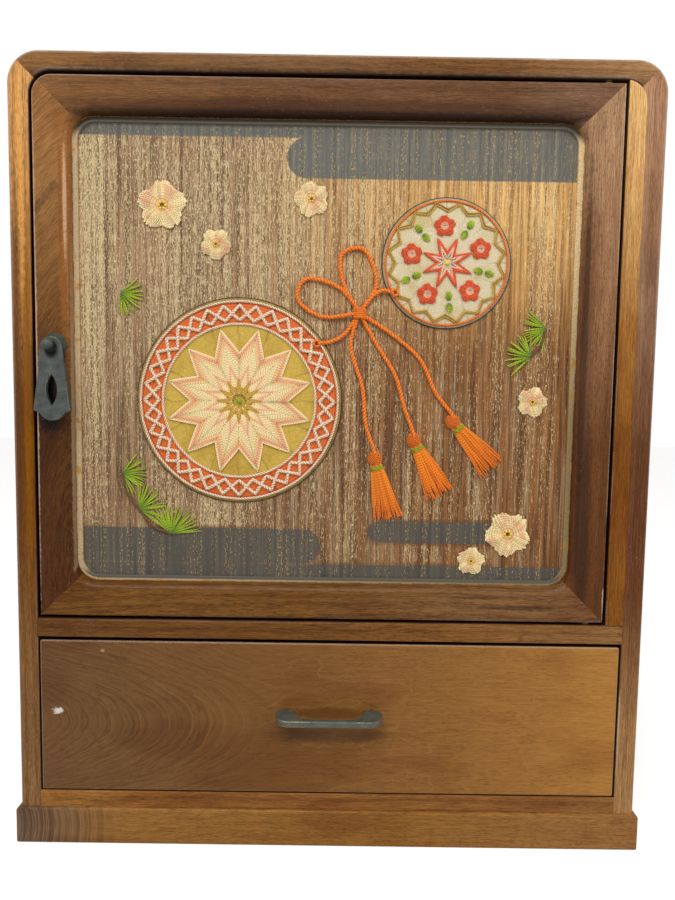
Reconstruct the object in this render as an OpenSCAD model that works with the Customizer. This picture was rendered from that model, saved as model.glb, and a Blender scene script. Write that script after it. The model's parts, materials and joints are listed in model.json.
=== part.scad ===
// Tabletop chest with one picture door over one drawer, on a low plinth.
// Millimetres, +Z up, front towards -Y, origin at the middle of the box's base.

$fn = 96;

/* [Case] */
// Width across the two case sides
case_w = 310; // [300:1:340]
// Height from the table to the top
case_h = 386.4; // [380:0.1:420]
// Depth of the case from its front plane to its back edges
case_d = 240; // [225:1:265]
// Thickness of the sides and of the front stiles
side_t = 10; // [9:0.5:11]
// Thickness of the top
top_t = 9.4; // [9:0.1:11]
// Outside radius of the two top corners
case_r = 15; // [13:0.5:17]
// Inside radius of the two top corners
inner_r = 10.5; // [9:0.5:12]
// Depth of the front frame, front to back
face_d = 21; // [20:0.5:24]

/* [Back] */
// Thickness of the back panel
back_t = 6; // [5:0.5:7]
// Width of the rabbet that holds the back panel
back_lap = 5; // [4:0.5:6]
// How far the back panel lies inside the back edges
back_inset = 1; // [0.8:0.1:2]
// Radius of a nail head
nail_r = 1.8; // [1.4:0.1:2.2]
// Height of a nail head
nail_h = 0.6; // [0.4:0.1:0.7]

/* [Plinth] */
// Height of the plinth
plinth_h = 18.6; // [16:0.1:24]
// How far the plinth stands out at the front and the sides
plinth_out = 1.7; // [1.2:0.1:3]
// Thickness of the plinth boards
plinth_t = 12; // [11:0.5:14]
// Side of a corner block
block_s = 14; // [10:0.5:15]

/* [Rails] */
// Height of the rail under the drawer
lower_rail_h = 8.3; // [7:0.1:10]
// Height of the drawer space
drawer_space_h = 79.5; // [70:0.5:90]
// Height of the rail between the drawer and the door
divider_h = 9.5; // [9:0.1:12]
// Thickness of the board behind that rail
divider_board_t = 8; // [6:0.5:9]
// Radius of the rail's rounded top edge
divider_arris = 2; // [1:0.25:3]
// Thickness of the bottom board
bottom_t = 5.8; // [5:0.1:6.5]
// Width of a drawer runner
runner_w = 14; // [10:1:20]

/* [Shelf] */
// Thickness of the shelf
shelf_t = 8; // [6:0.5:10]
// Height of the shelf's top above the divider
shelf_up = 130; // [100:1:150]
// How far the shelf's front edge lies behind the case's front
shelf_back = 40; // [36:1:60]
// Side of a cleat
cleat_s = 8; // [6:0.5:10]
// Gap at each end of the shelf
shelf_gap = 0.3; // [0.2:0.1:0.6]

/* [Door] */
// Gap around the door
door_gap = 1.2; // [1:0.1:1.5]
// Thickness of the door
door_t = 18; // [17:0.5:19]
// How far the door and drawer faces lie behind the case's front
front_inset = 0.6; // [0.3:0.1:1]
// Width of the door's frame members
member_w = 17; // [16:0.5:20]
// Width of the strip beside the hinge
strip_w = 8.5; // [7:0.5:10]
// Corner radius of the door's opening
opening_r = 11; // [9:0.5:14]
// Radius of the rounded edge round the opening
lip_r = 4.5; // [3.5:0.25:5]
// Depth of the panel behind the door's face
panel_recess = 6.5; // [6:0.25:7]
// Thickness of the panel
panel_t = 5; // [4:0.5:6]
// Width of the rabbet that holds the panel
panel_lap = 5; // [4:0.5:6]
// Width of the light strip round the panel
cove_w = 2.6; // [2:0.1:3.5]
// Height of the light strip
cove_h = 1.6; // [1:0.1:1.8]
// Side of the square beads behind the panel
bead_s = 5; // [4:0.5:6]

/* [Door pivots] */
// Radius of a pivot pin
pin_r = 2; // [1.6:0.1:2.2]
// Distance of the pins from the door's hinge edge
pin_in = 8; // [7.5:0.25:8.5]
// Distance of the pins behind the door's face
pin_back = 3.8; // [3.4:0.1:4]
// Radial clearance of everything that turns
turn_gap = 0.05; // [0.02:0.01:0.08]
// Wall of a pivot socket
socket_wall = 0.9; // [0.7:0.05:1.1]
// Depth of a pivot socket
socket_h = 5; // [4:0.5:6]
// Length of pin inside the door
pin_in_door = 12; // [10:0.5:14]
// Height of the pin's collar
collar_h = 0.8; // [0.4:0.1:0.9]

/* [Door stops and catch] */
// Width of a stop strip
stop_w = 6; // [5:0.5:6.5]
// Depth of a stop strip
stop_d = 12; // [9:0.5:16]
// Small seat gap between pieces that rest near each other
seat_gap = 0.3; // [0.2:0.05:0.4]
// Radius of the catch magnet
magnet_r = 2; // [1.5:0.1:2.2]
// Length of the catch magnet
magnet_h = 6; // [4:0.5:8]
// Radius of the strike plate
strike_r = 4; // [3:0.1:4.2]
// Thickness of the strike plate
strike_t = 0.8; // [0.5:0.1:1.2]
// Height of the catch above the door's lower edge
catch_up = 96; // [40:1:120]

/* [Drop pull] */
// Distance of the stud from the door's opening edge
post_in = 9.3; // [9:0.1:9.5]
// Height of the stud above the door's lower edge
post_up = 132.8; // [110:0.1:150]
// Radius of the stud's neck
neck_r = 1.2; // [1:0.05:1.4]
// Radius of the stud's ball head
ball_r = 2.6; // [2.4:0.05:2.8]
// Distance of the ball's middle from the door's face
ball_out = 8.2; // [8.1:0.05:8.6]
// Radius of the rosette
rosette_r = 6.1; // [5.5:0.1:7]
// Height of the rosette
rosette_h = 2; // [1.4:0.1:2.1]
// Distance of the plate's hanging line from the door's face
plate_out = 4; // [3.9:0.05:4.1]
// Thickness of the plate at its eye
plate_t = 1.6; // [1.4:0.1:1.6]
// Thickness of the plate below its eye
plate_low_t = 3; // [2.4:0.1:3]
// Radius of the plate's eye
eye_r = 2.6; // [2.5:0.05:2.7]
// Half width of the plate round the eye
plate_top_r = 5.3; // [5:0.1:5.6]
// Half width of the plate at its lower corners
plate_low_w = 8.8; // [8:0.1:9.5]
// Length of the plate below the eye's middle
plate_l = 34.8; // [32:0.2:38]
// Width of the almond opening
slot_w = 5.2; // [4:0.2:6]
// Length of the almond opening
slot_l = 14.8; // [12:0.2:16]
// Radius of the washer behind the door
washer_r = 3.5; // [2.6:0.1:3.8]
// Thickness of that washer
washer_t = 1; // [0.6:0.1:1.4]
// Radius of the stud's tail
tail_r = 2.1; // [1.8:0.1:2.4]
// Thickness of the stud's tail
tail_t = 1.2; // [0.8:0.1:1.6]

/* [Drawer] */
// Gap at each end of the drawer front
drawer_gap = 0.6; // [0.4:0.1:1]
// Gap above the drawer front
drawer_top_gap = 1.8; // [1.2:0.1:2.4]
// Gap between the drawer's sides and its runners
slide_gap = 0.3; // [0.2:0.05:0.5]
// Thickness of the drawer front
drawer_front_t = 12; // [11:0.5:14]
// Thickness of the drawer's sides and back
drawer_side_t = 8; // [7:0.5:9]
// Length of the drawer from its face to its back
drawer_l = 200; // [180:1:205]
// How far the sides end below the front's top
drawer_side_drop = 7; // [5:0.5:12]
// Wood left in front of the sides at the front's ends
lap_t = 5; // [4:0.5:6]
// Thickness of the drawer bottom
drawer_bottom_t = 4; // [3:0.5:5]
// Height of the drawer bottom above the sides' lower edges
drawer_bottom_up = 4; // [3:0.5:6]
// Depth of the grooves for the drawer bottom
groove_d = 3; // [2:0.5:4]

/* [Drawer handle] */
// Width over the handle's feet
handle_w = 52.4; // [46:0.2:64]
// How far the handle stands out from the drawer's face
handle_out = 12.5; // [11.5:0.1:15]
// Height of the handle's band
handle_h = 3.1; // [2.6:0.1:5]
// Depth of the handle's bar
handle_bar = 3.1; // [2.6:0.1:4]
// Width of one foot
foot_w = 8.8; // [7:0.2:10]
// Radius of the handle's outer corners
handle_r = 6.5; // [5:0.1:7]
// Radius of the handle's inner corners
handle_in_r = 5; // [4:0.1:6]
// Height of the handle's middle above the drawer's lower edge
handle_up = 41.6; // [30:0.1:50]
// Radius of a handle stud
stud_r = 1.2; // [1:0.1:1.3]
// Radial gap of a stud in the drawer front
stud_gap = 0.3; // [0.2:0.05:0.4]
// Radius of a nut
nut_r = 3.6; // [2.6:0.1:4.5]
// Thickness of a nut
nut_t = 2.4; // [1.5:0.1:3]

/* [Picture] */
// Radius of the large thread ball
big_r = 50; // [40:1:52]
// Sideways place of its middle from the opening's middle
big_x = -42; // [-50:1:-35]
// Height of its middle from the opening's middle
big_z = -22; // [-30:1:-15]
// Radius of the small thread ball
small_r = 31; // [24:1:32]
// Sideways place of its middle from the opening's middle
small_x = 58; // [54:1:70]
// Height of its middle from the opening's middle
small_z = 46; // [40:1:56]
// Height of the balls in relief
ball_relief = 2.2; // [1.6:0.1:2.6]
// Sideways place of the middle tassel's head from the opening's middle
tassel_x = 44; // [40:1:52]
// Height of the middle tassel's head from the opening's middle
tassel_z = -40; // [-46:1:-34]
// Distance from one tassel to the next, sideways
tassel_step = 19; // [17:0.5:21]
// Lean of the middle tassel in degrees
tassel_turn = 28; // [20:1:34]
// Thickness of a tassel
tassel_t = 1.4; // [1:0.1:2]
// Length of a tassel
tassel_l = 34; // [24:1:36]
// Width of a tassel's lower end
tassel_w = 15; // [10:1:18]

/* [Hidden] */
// A little extra for cutters that run past a face
over = 1;
// How far the centre of a rounded edge is raised, so that it meets the face at a slight angle
soft = 0.15;

half_w = case_w / 2;
in_w = half_w - side_t;
in_top = case_h - top_t;
overall_d = case_d + handle_out - front_inset;
front_y = handle_out - front_inset - overall_d / 2;
back_y = front_y + case_d;
face_back = front_y + face_d;
leaf_y = front_y + front_inset;
back_front = back_y - back_inset - back_t;

plinth_x = half_w + plinth_out;
plinth_y = front_y - plinth_out;
floor_z = plinth_h;
rail_top = floor_z + lower_rail_h;
divider_z = rail_top + drawer_space_h;
divider_top = divider_z + divider_h;
shelf_z = divider_top + shelf_up - shelf_t;

strip_x = in_w - strip_w;
door_x0 = -in_w + door_gap;
door_x1 = strip_x - door_gap;
door_z0 = divider_top + door_gap;
door_z1 = in_top - door_gap;
door_r = inner_r - door_gap;
door_back = leaf_y + door_t;
open_x0 = door_x0 + member_w;
open_x1 = door_x1 - member_w;
open_z0 = door_z0 + member_w;
open_z1 = door_z1 - member_w;
open_cx = (open_x0 + open_x1) / 2;
open_cz = (open_z0 + open_z1) / 2;
panel_front = leaf_y + panel_recess;
panel_back = panel_front + panel_t;

pin_x = door_x1 - pin_in;
pin_y = leaf_y + pin_back;
bore_r = pin_r + turn_gap;
socket_r = bore_r + socket_wall;
pin_past = door_gap + socket_h - seat_gap - 0.7;
collar_r = pin_r + 0.7;

stop_y = door_back + seat_gap;
catch_x = -in_w + stop_w / 2;
catch_z = door_z0 + catch_up;
strike_x = door_x0 + strike_r + 1.5;

post_x = door_x0 + post_in;
post_z = door_z0 + post_up;
post_bore = neck_r + turn_gap;
rim_r = plate_t / 2 + 0.05;
eye_ring = eye_r + rim_r;
hang_z = post_z + post_bore + rim_r;
eye_z = hang_z - eye_ring;
plate_y = leaf_y - plate_out;
lens_r = (slot_w * slot_w + slot_l * slot_l) / (4 * slot_w);
lens_side = lens_r - slot_w / 2;

drawer_x = in_w - drawer_gap;
drawer_z0 = rail_top + slide_gap;
drawer_z1 = divider_z - drawer_top_gap;
side_in = drawer_x - drawer_side_t;
side_top = drawer_z1 - drawer_side_drop;
front_back = leaf_y + drawer_front_t;
drawer_back_y = leaf_y + drawer_l;
bottom_z = drawer_z0 + drawer_bottom_up;
handle_z = drawer_z0 + handle_up;
foot_x = handle_w / 2 - foot_w / 2;
stud_end = front_back + nut_t - 0.2;

// A box from its two corners
module box(x0, x1, y0, y1, z0, z1) {
    translate([x0, y0, z0]) cube([x1 - x0, y1 - y0, z1 - z0]);
}

// A drawing in X and Z, made solid from y0 to y1
module along_y(y0, y1) {
    translate([0, y1, 0]) rotate([90, 0, 0]) linear_extrude(y1 - y0) children();
}

// A turned solid whose axis runs forwards from the point at depth y
module turned(x, y, z) {
    translate([x, y, z]) rotate([90, 0, 0]) rotate_extrude() children();
}

// An upright shape with two rounded top corners
module arch2d(w, z0, z1, r) {
    translate([-w, z0]) square([2 * w, z1 - z0 - r]);
    translate([r - w, z0]) square([2 * (w - r), z1 - z0]);
    for (s = [-1, 1]) translate([s * (w - r), z1 - r]) circle(r);
}

// A rectangle with four rounded corners
module round2d(x0, x1, z0, z1, r) {
    translate([x0 + r, z0]) square([x1 - x0 - 2 * r, z1 - z0]);
    translate([x0, z0 + r]) square([x1 - x0, z1 - z0 - 2 * r]);
    for (x = [x0 + r, x1 - r]) for (z = [z0 + r, z1 - r]) translate([x, z]) circle(r);
}

// The case's section, clear inside
module shell2d(lap) {
    difference() {
        arch2d(half_w, floor_z, case_h, case_r);
        arch2d(in_w + lap, floor_z - over, in_top + lap, inner_r);
    }
}

// What lies outside the mitre on one side, s is -1 for left and 1 for right
module side_clip(s) {
    reach = side_t * 3;
    polygon([[s * (half_w + over), case_h + over], [s * (half_w - reach), case_h - reach],
        [s * (half_w - reach), floor_z - over], [s * (half_w + over), floor_z - over]]);
}

// What lies above both mitres
module top_clip() {
    reach = side_t * 3;
    polygon([[-half_w - over, case_h + over], [half_w + over, case_h + over],
        [half_w - reach, case_h - reach], [reach - half_w, case_h - reach]]);
}

module shell_side(s, y0, y1) {
    along_y(y0, y1) intersection() {
        shell2d(0);
        side_clip(s);
    }
}

module shell_top(y0, y1) {
    along_y(y0, y1) intersection() {
        shell2d(0);
        top_clip();
    }
}

// The space cut for the back panel, at the very back of the sides and top
module back_rabbet() {
    along_y(back_front, back_y + over)
        arch2d(in_w + back_lap, floor_z - over, in_top + back_lap, inner_r);
}

module stile_left() {
    color([0.5, 0.32, 0.17]) shell_side(-1, front_y, face_back);
}

module stile_right() {
    color([0.42, 0.28, 0.18]) shell_side(1, front_y, face_back);
}

module top_rail() {
    color([0.45, 0.32, 0.2]) difference() {
        shell_top(front_y, face_back);
        socket_pocket(in_top, -1);
    }
}

module side_left() {
    color([0.46, 0.3, 0.17]) difference() {
        shell_side(-1, face_back, back_y);
        back_rabbet();
    }
}

module side_right() {
    color([0.44, 0.28, 0.17]) difference() {
        shell_side(1, face_back, back_y);
        back_rabbet();
    }
}

module top_board() {
    color([0.46, 0.31, 0.18]) difference() {
        shell_top(face_back, back_y);
        back_rabbet();
    }
}

module back_panel() {
    color([0.55, 0.42, 0.28]) along_y(back_front, back_front + back_t)
        arch2d(in_w + back_lap, floor_z, in_top + back_lap, inner_r);
}

// Flat heads in two rows down the sides and one along the top
module back_nails() {
    row_x = in_w + back_lap / 2;
    low_z = floor_z + 20;
    high_z = in_top - inner_r - 6;
    step = (high_z - low_z) / 5;
    color([0.3, 0.28, 0.26]) {
        for (s = [-1, 1]) for (i = [0:5]) nail(s * row_x, low_z + i * step);
        for (i = [-2:2]) nail(i * in_w / 2.6, in_top + back_lap / 2);
    }
}

module nail(x, z) {
    translate([x, back_front + back_t, z]) rotate([-90, 0, 0]) cylinder(r = nail_r, h = nail_h);
}

// A rail across the front, its upper front edge rounded
module divider_rail() {
    r = divider_arris;
    color([0.5, 0.34, 0.21]) difference() {
        box(-in_w, in_w, front_y, face_back, divider_z, divider_top);
        translate([-in_w - over, front_y, divider_top]) rotate([90, 0, 90])
            linear_extrude(2 * in_w + 2 * over) difference() {
                translate([-over, -r + soft]) square([r - soft + over, r - soft + over]);
                translate([r - soft, -r + soft]) circle(r);
            }
        socket_pocket(divider_top, 1);
    }
}

module divider_board() {
    color([0.62, 0.48, 0.32])
        box(-in_w, in_w, face_back, back_front, divider_top - divider_board_t, divider_top);
}

module lower_rail() {
    color([0.44, 0.29, 0.18]) box(-in_w, in_w, front_y, face_back, floor_z, rail_top);
}

module bottom_board() {
    color([0.6, 0.46, 0.3]) box(-in_w, in_w, face_back, back_front, floor_z, floor_z + bottom_t);
}

module hinge_strip() {
    color([0.6, 0.42, 0.24]) along_y(front_y, face_back) intersection() {
        translate([strip_x, divider_top]) square([strip_w, case_h]);
        arch2d(in_w, floor_z, in_top, inner_r);
    }
}

module shelf() {
    color([0.62, 0.48, 0.32]) box(-in_w + shelf_gap, in_w - shelf_gap, front_y + shelf_back,
        back_front - seat_gap, shelf_z, shelf_z + shelf_t);
}

module cleat(x0, x1) {
    color([0.58, 0.44, 0.3]) box(x0, x1, front_y + shelf_back + cleat_s, back_front - cleat_s,
        shelf_z - cleat_s, shelf_z);
}

module shelf_cleat_left() {
    cleat(-in_w, cleat_s - in_w);
}

module shelf_cleat_right() {
    cleat(in_w - cleat_s, in_w);
}

module door_stop_side() {
    color([0.58, 0.44, 0.3]) difference() {
        box(-in_w, stop_w - in_w, stop_y, stop_y + stop_d, divider_top, in_top - inner_r);
        translate([catch_x, stop_y - over, catch_z]) rotate([-90, 0, 0])
            cylinder(r = magnet_r, h = magnet_h + over);
    }
}

module door_stop_top() {
    color([0.58, 0.44, 0.3]) box(inner_r - in_w, in_w * 0.6, stop_y, stop_y + stop_d,
        in_top - stop_w, in_top);
}

module catch_magnet() {
    color([0.25, 0.25, 0.26]) translate([catch_x, stop_y, catch_z]) rotate([-90, 0, 0])
        cylinder(r = magnet_r, h = magnet_h);
}

module runner(x0, x1) {
    color([0.58, 0.44, 0.3]) box(x0, x1, face_back, back_front, floor_z + bottom_t, rail_top);
}

module runner_left() {
    runner(-in_w, runner_w - in_w);
}

module runner_right() {
    runner(in_w - runner_w, in_w);
}

module plinth_front() {
    color([0.48, 0.32, 0.18]) linear_extrude(plinth_h) polygon([[-plinth_x, plinth_y],
        [plinth_x, plinth_y], [plinth_x - plinth_t, plinth_y + plinth_t],
        [plinth_t - plinth_x, plinth_y + plinth_t]]);
}

module plinth_side(s) {
    color([0.46, 0.31, 0.18]) linear_extrude(plinth_h) polygon([[s * plinth_x, plinth_y],
        [s * (plinth_x - plinth_t), plinth_y + plinth_t], [s * (plinth_x - plinth_t), back_y],
        [s * plinth_x, back_y]]);
}

module plinth_left() {
    plinth_side(-1);
}

module plinth_right() {
    plinth_side(1);
}

module plinth_back() {
    color([0.46, 0.31, 0.18]) box(plinth_t - plinth_x, plinth_x - plinth_t, back_y - plinth_t,
        back_y, 0, plinth_h);
}

// Four glue blocks in the plinth's inner corners
module plinth_blocks() {
    x = plinth_x - plinth_t;
    y0 = plinth_y + plinth_t;
    y1 = back_y - plinth_t;
    color([0.58, 0.44, 0.3]) for (s = [0, 1]) mirror([s, 0, 0]) {
        box(x - block_s, x, y0, y0 + block_s, plinth_h - block_s, plinth_h);
        box(x - block_s, x, y1 - block_s, y1, plinth_h - block_s, plinth_h);
    }
}

// The pocket for a pivot socket, up is -1 when it goes up into the rail and 1 when it goes down
module socket_pocket(z, up) {
    low = up < 0 ? z - over : z - socket_h;
    translate([pin_x, pin_y, low]) cylinder(r = socket_r, h = socket_h + over);
}

module socket(z) {
    color([0.72, 0.56, 0.26]) translate([pin_x, pin_y, z]) difference() {
        cylinder(r = socket_r, h = socket_h);
        translate([0, 0, -over]) cylinder(r = bore_r, h = socket_h + 2 * over);
    }
}

module pivot_socket_top() {
    socket(in_top);
}

module pivot_socket_bottom() {
    socket(divider_top - socket_h);
}

// The ring that rounds the edge of the door's opening, drawn flat with the face at height 0
module lip_profile() {
    difference() {
        translate([-over, soft - lip_r]) square([lip_r + over, lip_r + over]);
        translate([lip_r, soft - lip_r]) circle(lip_r);
    }
}

module lip_edge(l) {
    rotate([90, 0, 90]) linear_extrude(l) lip_profile();
}

module lip_cut() {
    w = open_x1 - open_x0 - 2 * opening_r;
    h = open_z1 - open_z0 - 2 * opening_r;
    translate([open_x0 + opening_r, open_z1, 0]) lip_edge(w);
    translate([open_x1 - opening_r, open_z0, 0]) rotate([0, 0, 180]) lip_edge(w);
    translate([open_x0, open_z0 + opening_r, 0]) rotate([0, 0, 90]) lip_edge(h);
    translate([open_x1, open_z1 - opening_r, 0]) rotate([0, 0, -90]) lip_edge(h);
    corners = [[open_x1 - opening_r, open_z1 - opening_r], [open_x0 + opening_r, open_z1 - opening_r],
        [open_x0 + opening_r, open_z0 + opening_r], [open_x1 - opening_r, open_z0 + opening_r]];
    for (i = [0:3]) translate([corners[i][0], corners[i][1], 0]) rotate([0, 0, 90 * i])
        rotate_extrude(angle = 90) translate([opening_r, 0]) lip_profile();
}

// The whole door frame in one piece, cut into its four members below
module door_ring() {
    difference() {
        along_y(leaf_y, door_back) difference() {
            intersection() {
                translate([door_x0, door_z0]) square([door_x1 - door_x0, door_z1 - door_z0]);
                translate([door_gap, 0]) arch2d(in_w, floor_z, door_z1, door_r);
            }
            round2d(open_x0, open_x1, open_z0, open_z1, opening_r);
        }
        translate([0, leaf_y, 0]) rotate([90, 0, 0]) lip_cut();
        box(open_x0 - panel_lap, open_x1 + panel_lap, panel_front, door_back + over,
            open_z0 - panel_lap, open_z1 + panel_lap);
        translate([pin_x, pin_y, door_z0 - over]) cylinder(r = pin_r, h = pin_in_door + over);
        translate([pin_x, pin_y, door_z1 - pin_in_door]) cylinder(r = pin_r, h = pin_in_door + over);
        translate([post_x, leaf_y - over, post_z]) rotate([-90, 0, 0])
            cylinder(r = post_bore, h = door_t + 2 * over);
        translate([strike_x, door_back - strike_t, catch_z]) rotate([-90, 0, 0])
            cylinder(r = strike_r, h = strike_t + over);
    }
}

module door_upright(x, reach) {
    intersection() {
        door_ring();
        along_y(leaf_y - over, door_back + over) polygon([[x - reach / 30, door_z0 - over],
            [x + reach, door_z0 + 30], [x + reach, door_z1 - 30], [x - reach / 30, door_z1 + over]]);
    }
}

module door_level(z, reach) {
    intersection() {
        door_ring();
        along_y(leaf_y - over, door_back + over) polygon([[door_x0 - over, z - reach / 30],
            [door_x0 + 30, z + reach], [door_x1 - 30, z + reach], [door_x1 + over, z - reach / 30]]);
    }
}

module door_stile_left() {
    color([0.46, 0.28, 0.16]) door_upright(door_x0, 30);
}

module door_stile_right() {
    color([0.44, 0.28, 0.17]) door_upright(door_x1, -30);
}

module door_top_rail() {
    color([0.45, 0.29, 0.17]) door_level(door_z1, -30);
}

module door_bottom_rail() {
    color([0.44, 0.28, 0.17]) door_level(door_z0, 30);
}

module door_panel() {
    color([0.55, 0.42, 0.3]) box(open_x0 - panel_lap, open_x1 + panel_lap, panel_front, panel_back,
        open_z0 - panel_lap, open_z1 + panel_lap);
}

// A thin light strip lying on the panel all round the opening
module panel_cove() {
    color([0.75, 0.62, 0.4]) along_y(panel_front - cove_h, panel_front) difference() {
        round2d(open_x0, open_x1, open_z0, open_z1, opening_r);
        round2d(open_x0 + cove_w, open_x1 - cove_w, open_z0 + cove_w, open_z1 - cove_w,
            opening_r - cove_w);
    }
}

// Four square beads that hold the panel from behind
module panel_beads() {
    x0 = open_x0 - panel_lap;
    x1 = open_x1 + panel_lap;
    z0 = open_z0 - panel_lap;
    z1 = open_z1 + panel_lap;
    color([0.5, 0.36, 0.22]) {
        box(x0, x1, panel_back, panel_back + bead_s, z0, z0 + bead_s);
        box(x0, x1, panel_back, panel_back + bead_s, z1 - bead_s, z1);
        box(x0, x0 + bead_s, panel_back, panel_back + bead_s, z0 + bead_s + seat_gap,
            z1 - bead_s - seat_gap);
        box(x1 - bead_s, x1, panel_back, panel_back + bead_s, z0 + bead_s + seat_gap,
            z1 - bead_s - seat_gap);
    }
}

// A low dome with a round base, its axis running forwards
module dome2d(r, h) {
    big = (r * r + h * h) / (2 * h);
    intersection() {
        translate([0, h - big]) circle(big);
        square([r, h]);
    }
}

// A padded disc: a straight rim, a sloping shoulder and a flat middle
module pad2d(r) {
    h = ball_relief;
    polygon([[0, 0], [r, 0], [r, h * 0.35], [r * 0.88, h * 0.75], [r * 0.6, h], [0, h]]);
}

module picture_ball_large() {
    color([0.72, 0.6, 0.25]) turned(open_cx + big_x, panel_front, open_cz + big_z) pad2d(big_r);
}

module picture_ball_small() {
    color([0.9, 0.86, 0.8]) turned(open_cx + small_x, panel_front, open_cz + small_z) pad2d(small_r);
}

// A hanging tassel: a round head over a skirt
module tassel2d() {
    circle(tassel_w / 4);
    polygon([[-tassel_w / 6, 0], [tassel_w / 6, 0], [tassel_w / 2, -tassel_l], [-tassel_w / 2, -tassel_l]]);
}

module picture_tassels() {
    color([0.85, 0.4, 0.12]) for (i = [-1, 0, 1]) along_y(panel_front - tassel_t, panel_front)
        translate([open_cx + tassel_x + i * tassel_step, open_cz + tassel_z + i * tassel_step / 2])
            rotate(tassel_turn + i * tassel_turn / 2) tassel2d();
}

module pull_rosette() {
    color([0.35, 0.37, 0.36]) difference() {
        turned(post_x, leaf_y, post_z) dome2d(rosette_r, rosette_h);
        translate([post_x, leaf_y + over, post_z]) rotate([90, 0, 0])
            cylinder(r = post_bore, h = rosette_h + 2 * over);
    }
}

module pull_washer() {
    color([0.6, 0.6, 0.58]) translate([post_x, door_back + washer_t, post_z]) rotate([90, 0, 0])
        difference() {
            cylinder(r = washer_r, h = washer_t);
            translate([0, 0, -over]) cylinder(r = post_bore, h = washer_t + 2 * over);
        }
}

module strike_plate() {
    color([0.6, 0.6, 0.6]) translate([strike_x, door_back - strike_t, catch_z]) rotate([-90, 0, 0])
        cylinder(r = strike_r, h = strike_t);
}

module pivot_pin_top() {
    color([0.72, 0.56, 0.26]) translate([pin_x, pin_y, door_z1]) {
        translate([0, 0, -pin_in_door]) cylinder(r = pin_r, h = pin_in_door + pin_past);
        cylinder(r = collar_r, h = collar_h);
    }
}

module pivot_pin_bottom() {
    color([0.72, 0.56, 0.26]) translate([pin_x, pin_y, door_z0]) mirror([0, 0, 1]) {
        translate([0, 0, -pin_in_door]) cylinder(r = pin_r, h = pin_in_door + pin_past);
        cylinder(r = collar_r, h = collar_h);
    }
}

// The stud: a tail behind the door, a straight neck through it and a ball head in front
module pull_post() {
    tail_y = door_back + washer_t + seat_gap;
    color([0.36, 0.38, 0.37]) {
        translate([post_x, tail_y + tail_t, post_z]) rotate([90, 0, 0])
            cylinder(r = neck_r, h = tail_y + tail_t - leaf_y + ball_out);
        translate([post_x, tail_y + tail_t, post_z]) rotate([90, 0, 0])
            cylinder(r = tail_r, h = tail_t);
        translate([post_x, leaf_y - ball_out, post_z]) sphere(ball_r);
    }
}

// The hanging plate's outline, the eye's middle at the origin
module plate2d() {
    belly = 6.6;
    corner = plate_l - 5.2;
    difference() {
        union() {
            circle(plate_top_r);
            polygon([[-plate_top_r, 0], [plate_top_r, 0], [plate_top_r + 1.3, -plate_l * 0.38],
                [plate_low_w, -corner], [plate_low_w, -corner - 1.6], [-plate_low_w, -corner - 1.6],
                [-plate_low_w, -corner], [-plate_top_r - 1.3, -plate_l * 0.38]]);
            translate([0, belly - plate_l]) circle(belly);
        }
        for (s = [-1, 1]) translate([s * (plate_low_w - 0.4), -corner - 4]) circle(3.3);
        translate([0, -plate_l * 0.58]) intersection() {
            translate([-lens_side, 0]) circle(lens_r);
            translate([lens_side, 0]) circle(lens_r);
        }
    }
}

module pull_plate() {
    thick_from = plate_l * 0.2;
    color([0.35, 0.37, 0.36]) translate([post_x, 0, eye_z]) difference() {
        union() {
            along_y(plate_y - plate_t / 2, plate_y + plate_t / 2) plate2d();
            along_y(plate_y - plate_t / 2, plate_y - plate_t / 2 + plate_low_t) intersection() {
                plate2d();
                translate([-plate_low_w - over, -plate_l - over])
                    square([2 * (plate_low_w + over), plate_l + over - thick_from]);
            }
        }
        translate([0, plate_y, 0]) rotate([90, 0, 0]) rotate_extrude() difference() {
            translate([0, -plate_t]) square([eye_ring, 2 * plate_t]);
            translate([eye_ring, 0]) circle(rim_r);
        }
    }
}

module drawer_front() {
    color([0.5, 0.33, 0.19]) difference() {
        box(-drawer_x, drawer_x, leaf_y, front_back, drawer_z0, drawer_z1);
        for (s = [0, 1]) mirror([s, 0, 0]) box(side_in, drawer_x + over, leaf_y + lap_t,
            front_back + over, drawer_z0 - over, side_top);
        drawer_bottom_body();
        for (s = [-1, 1]) translate([s * foot_x, leaf_y - over, handle_z]) rotate([-90, 0, 0])
            cylinder(r = stud_r + stud_gap, h = drawer_front_t + 2 * over);
    }
}

module drawer_bottom_body() {
    box(-side_in - groove_d, side_in + groove_d, front_back - groove_d, drawer_back_y, bottom_z,
        bottom_z + drawer_bottom_t);
}

module drawer_side(s) {
    color([0.62, 0.48, 0.32]) mirror([s, 0, 0]) difference() {
        box(side_in, drawer_x, leaf_y + lap_t, drawer_back_y, drawer_z0, side_top);
        drawer_bottom_body();
    }
}

module drawer_side_left() {
    drawer_side(1);
}

module drawer_side_right() {
    drawer_side(0);
}

module drawer_back() {
    color([0.62, 0.48, 0.32]) box(-side_in, side_in, drawer_back_y - drawer_side_t, drawer_back_y,
        bottom_z + drawer_bottom_t, side_top);
}

module drawer_bottom() {
    color([0.64, 0.5, 0.34]) drawer_bottom_body();
}

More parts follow.
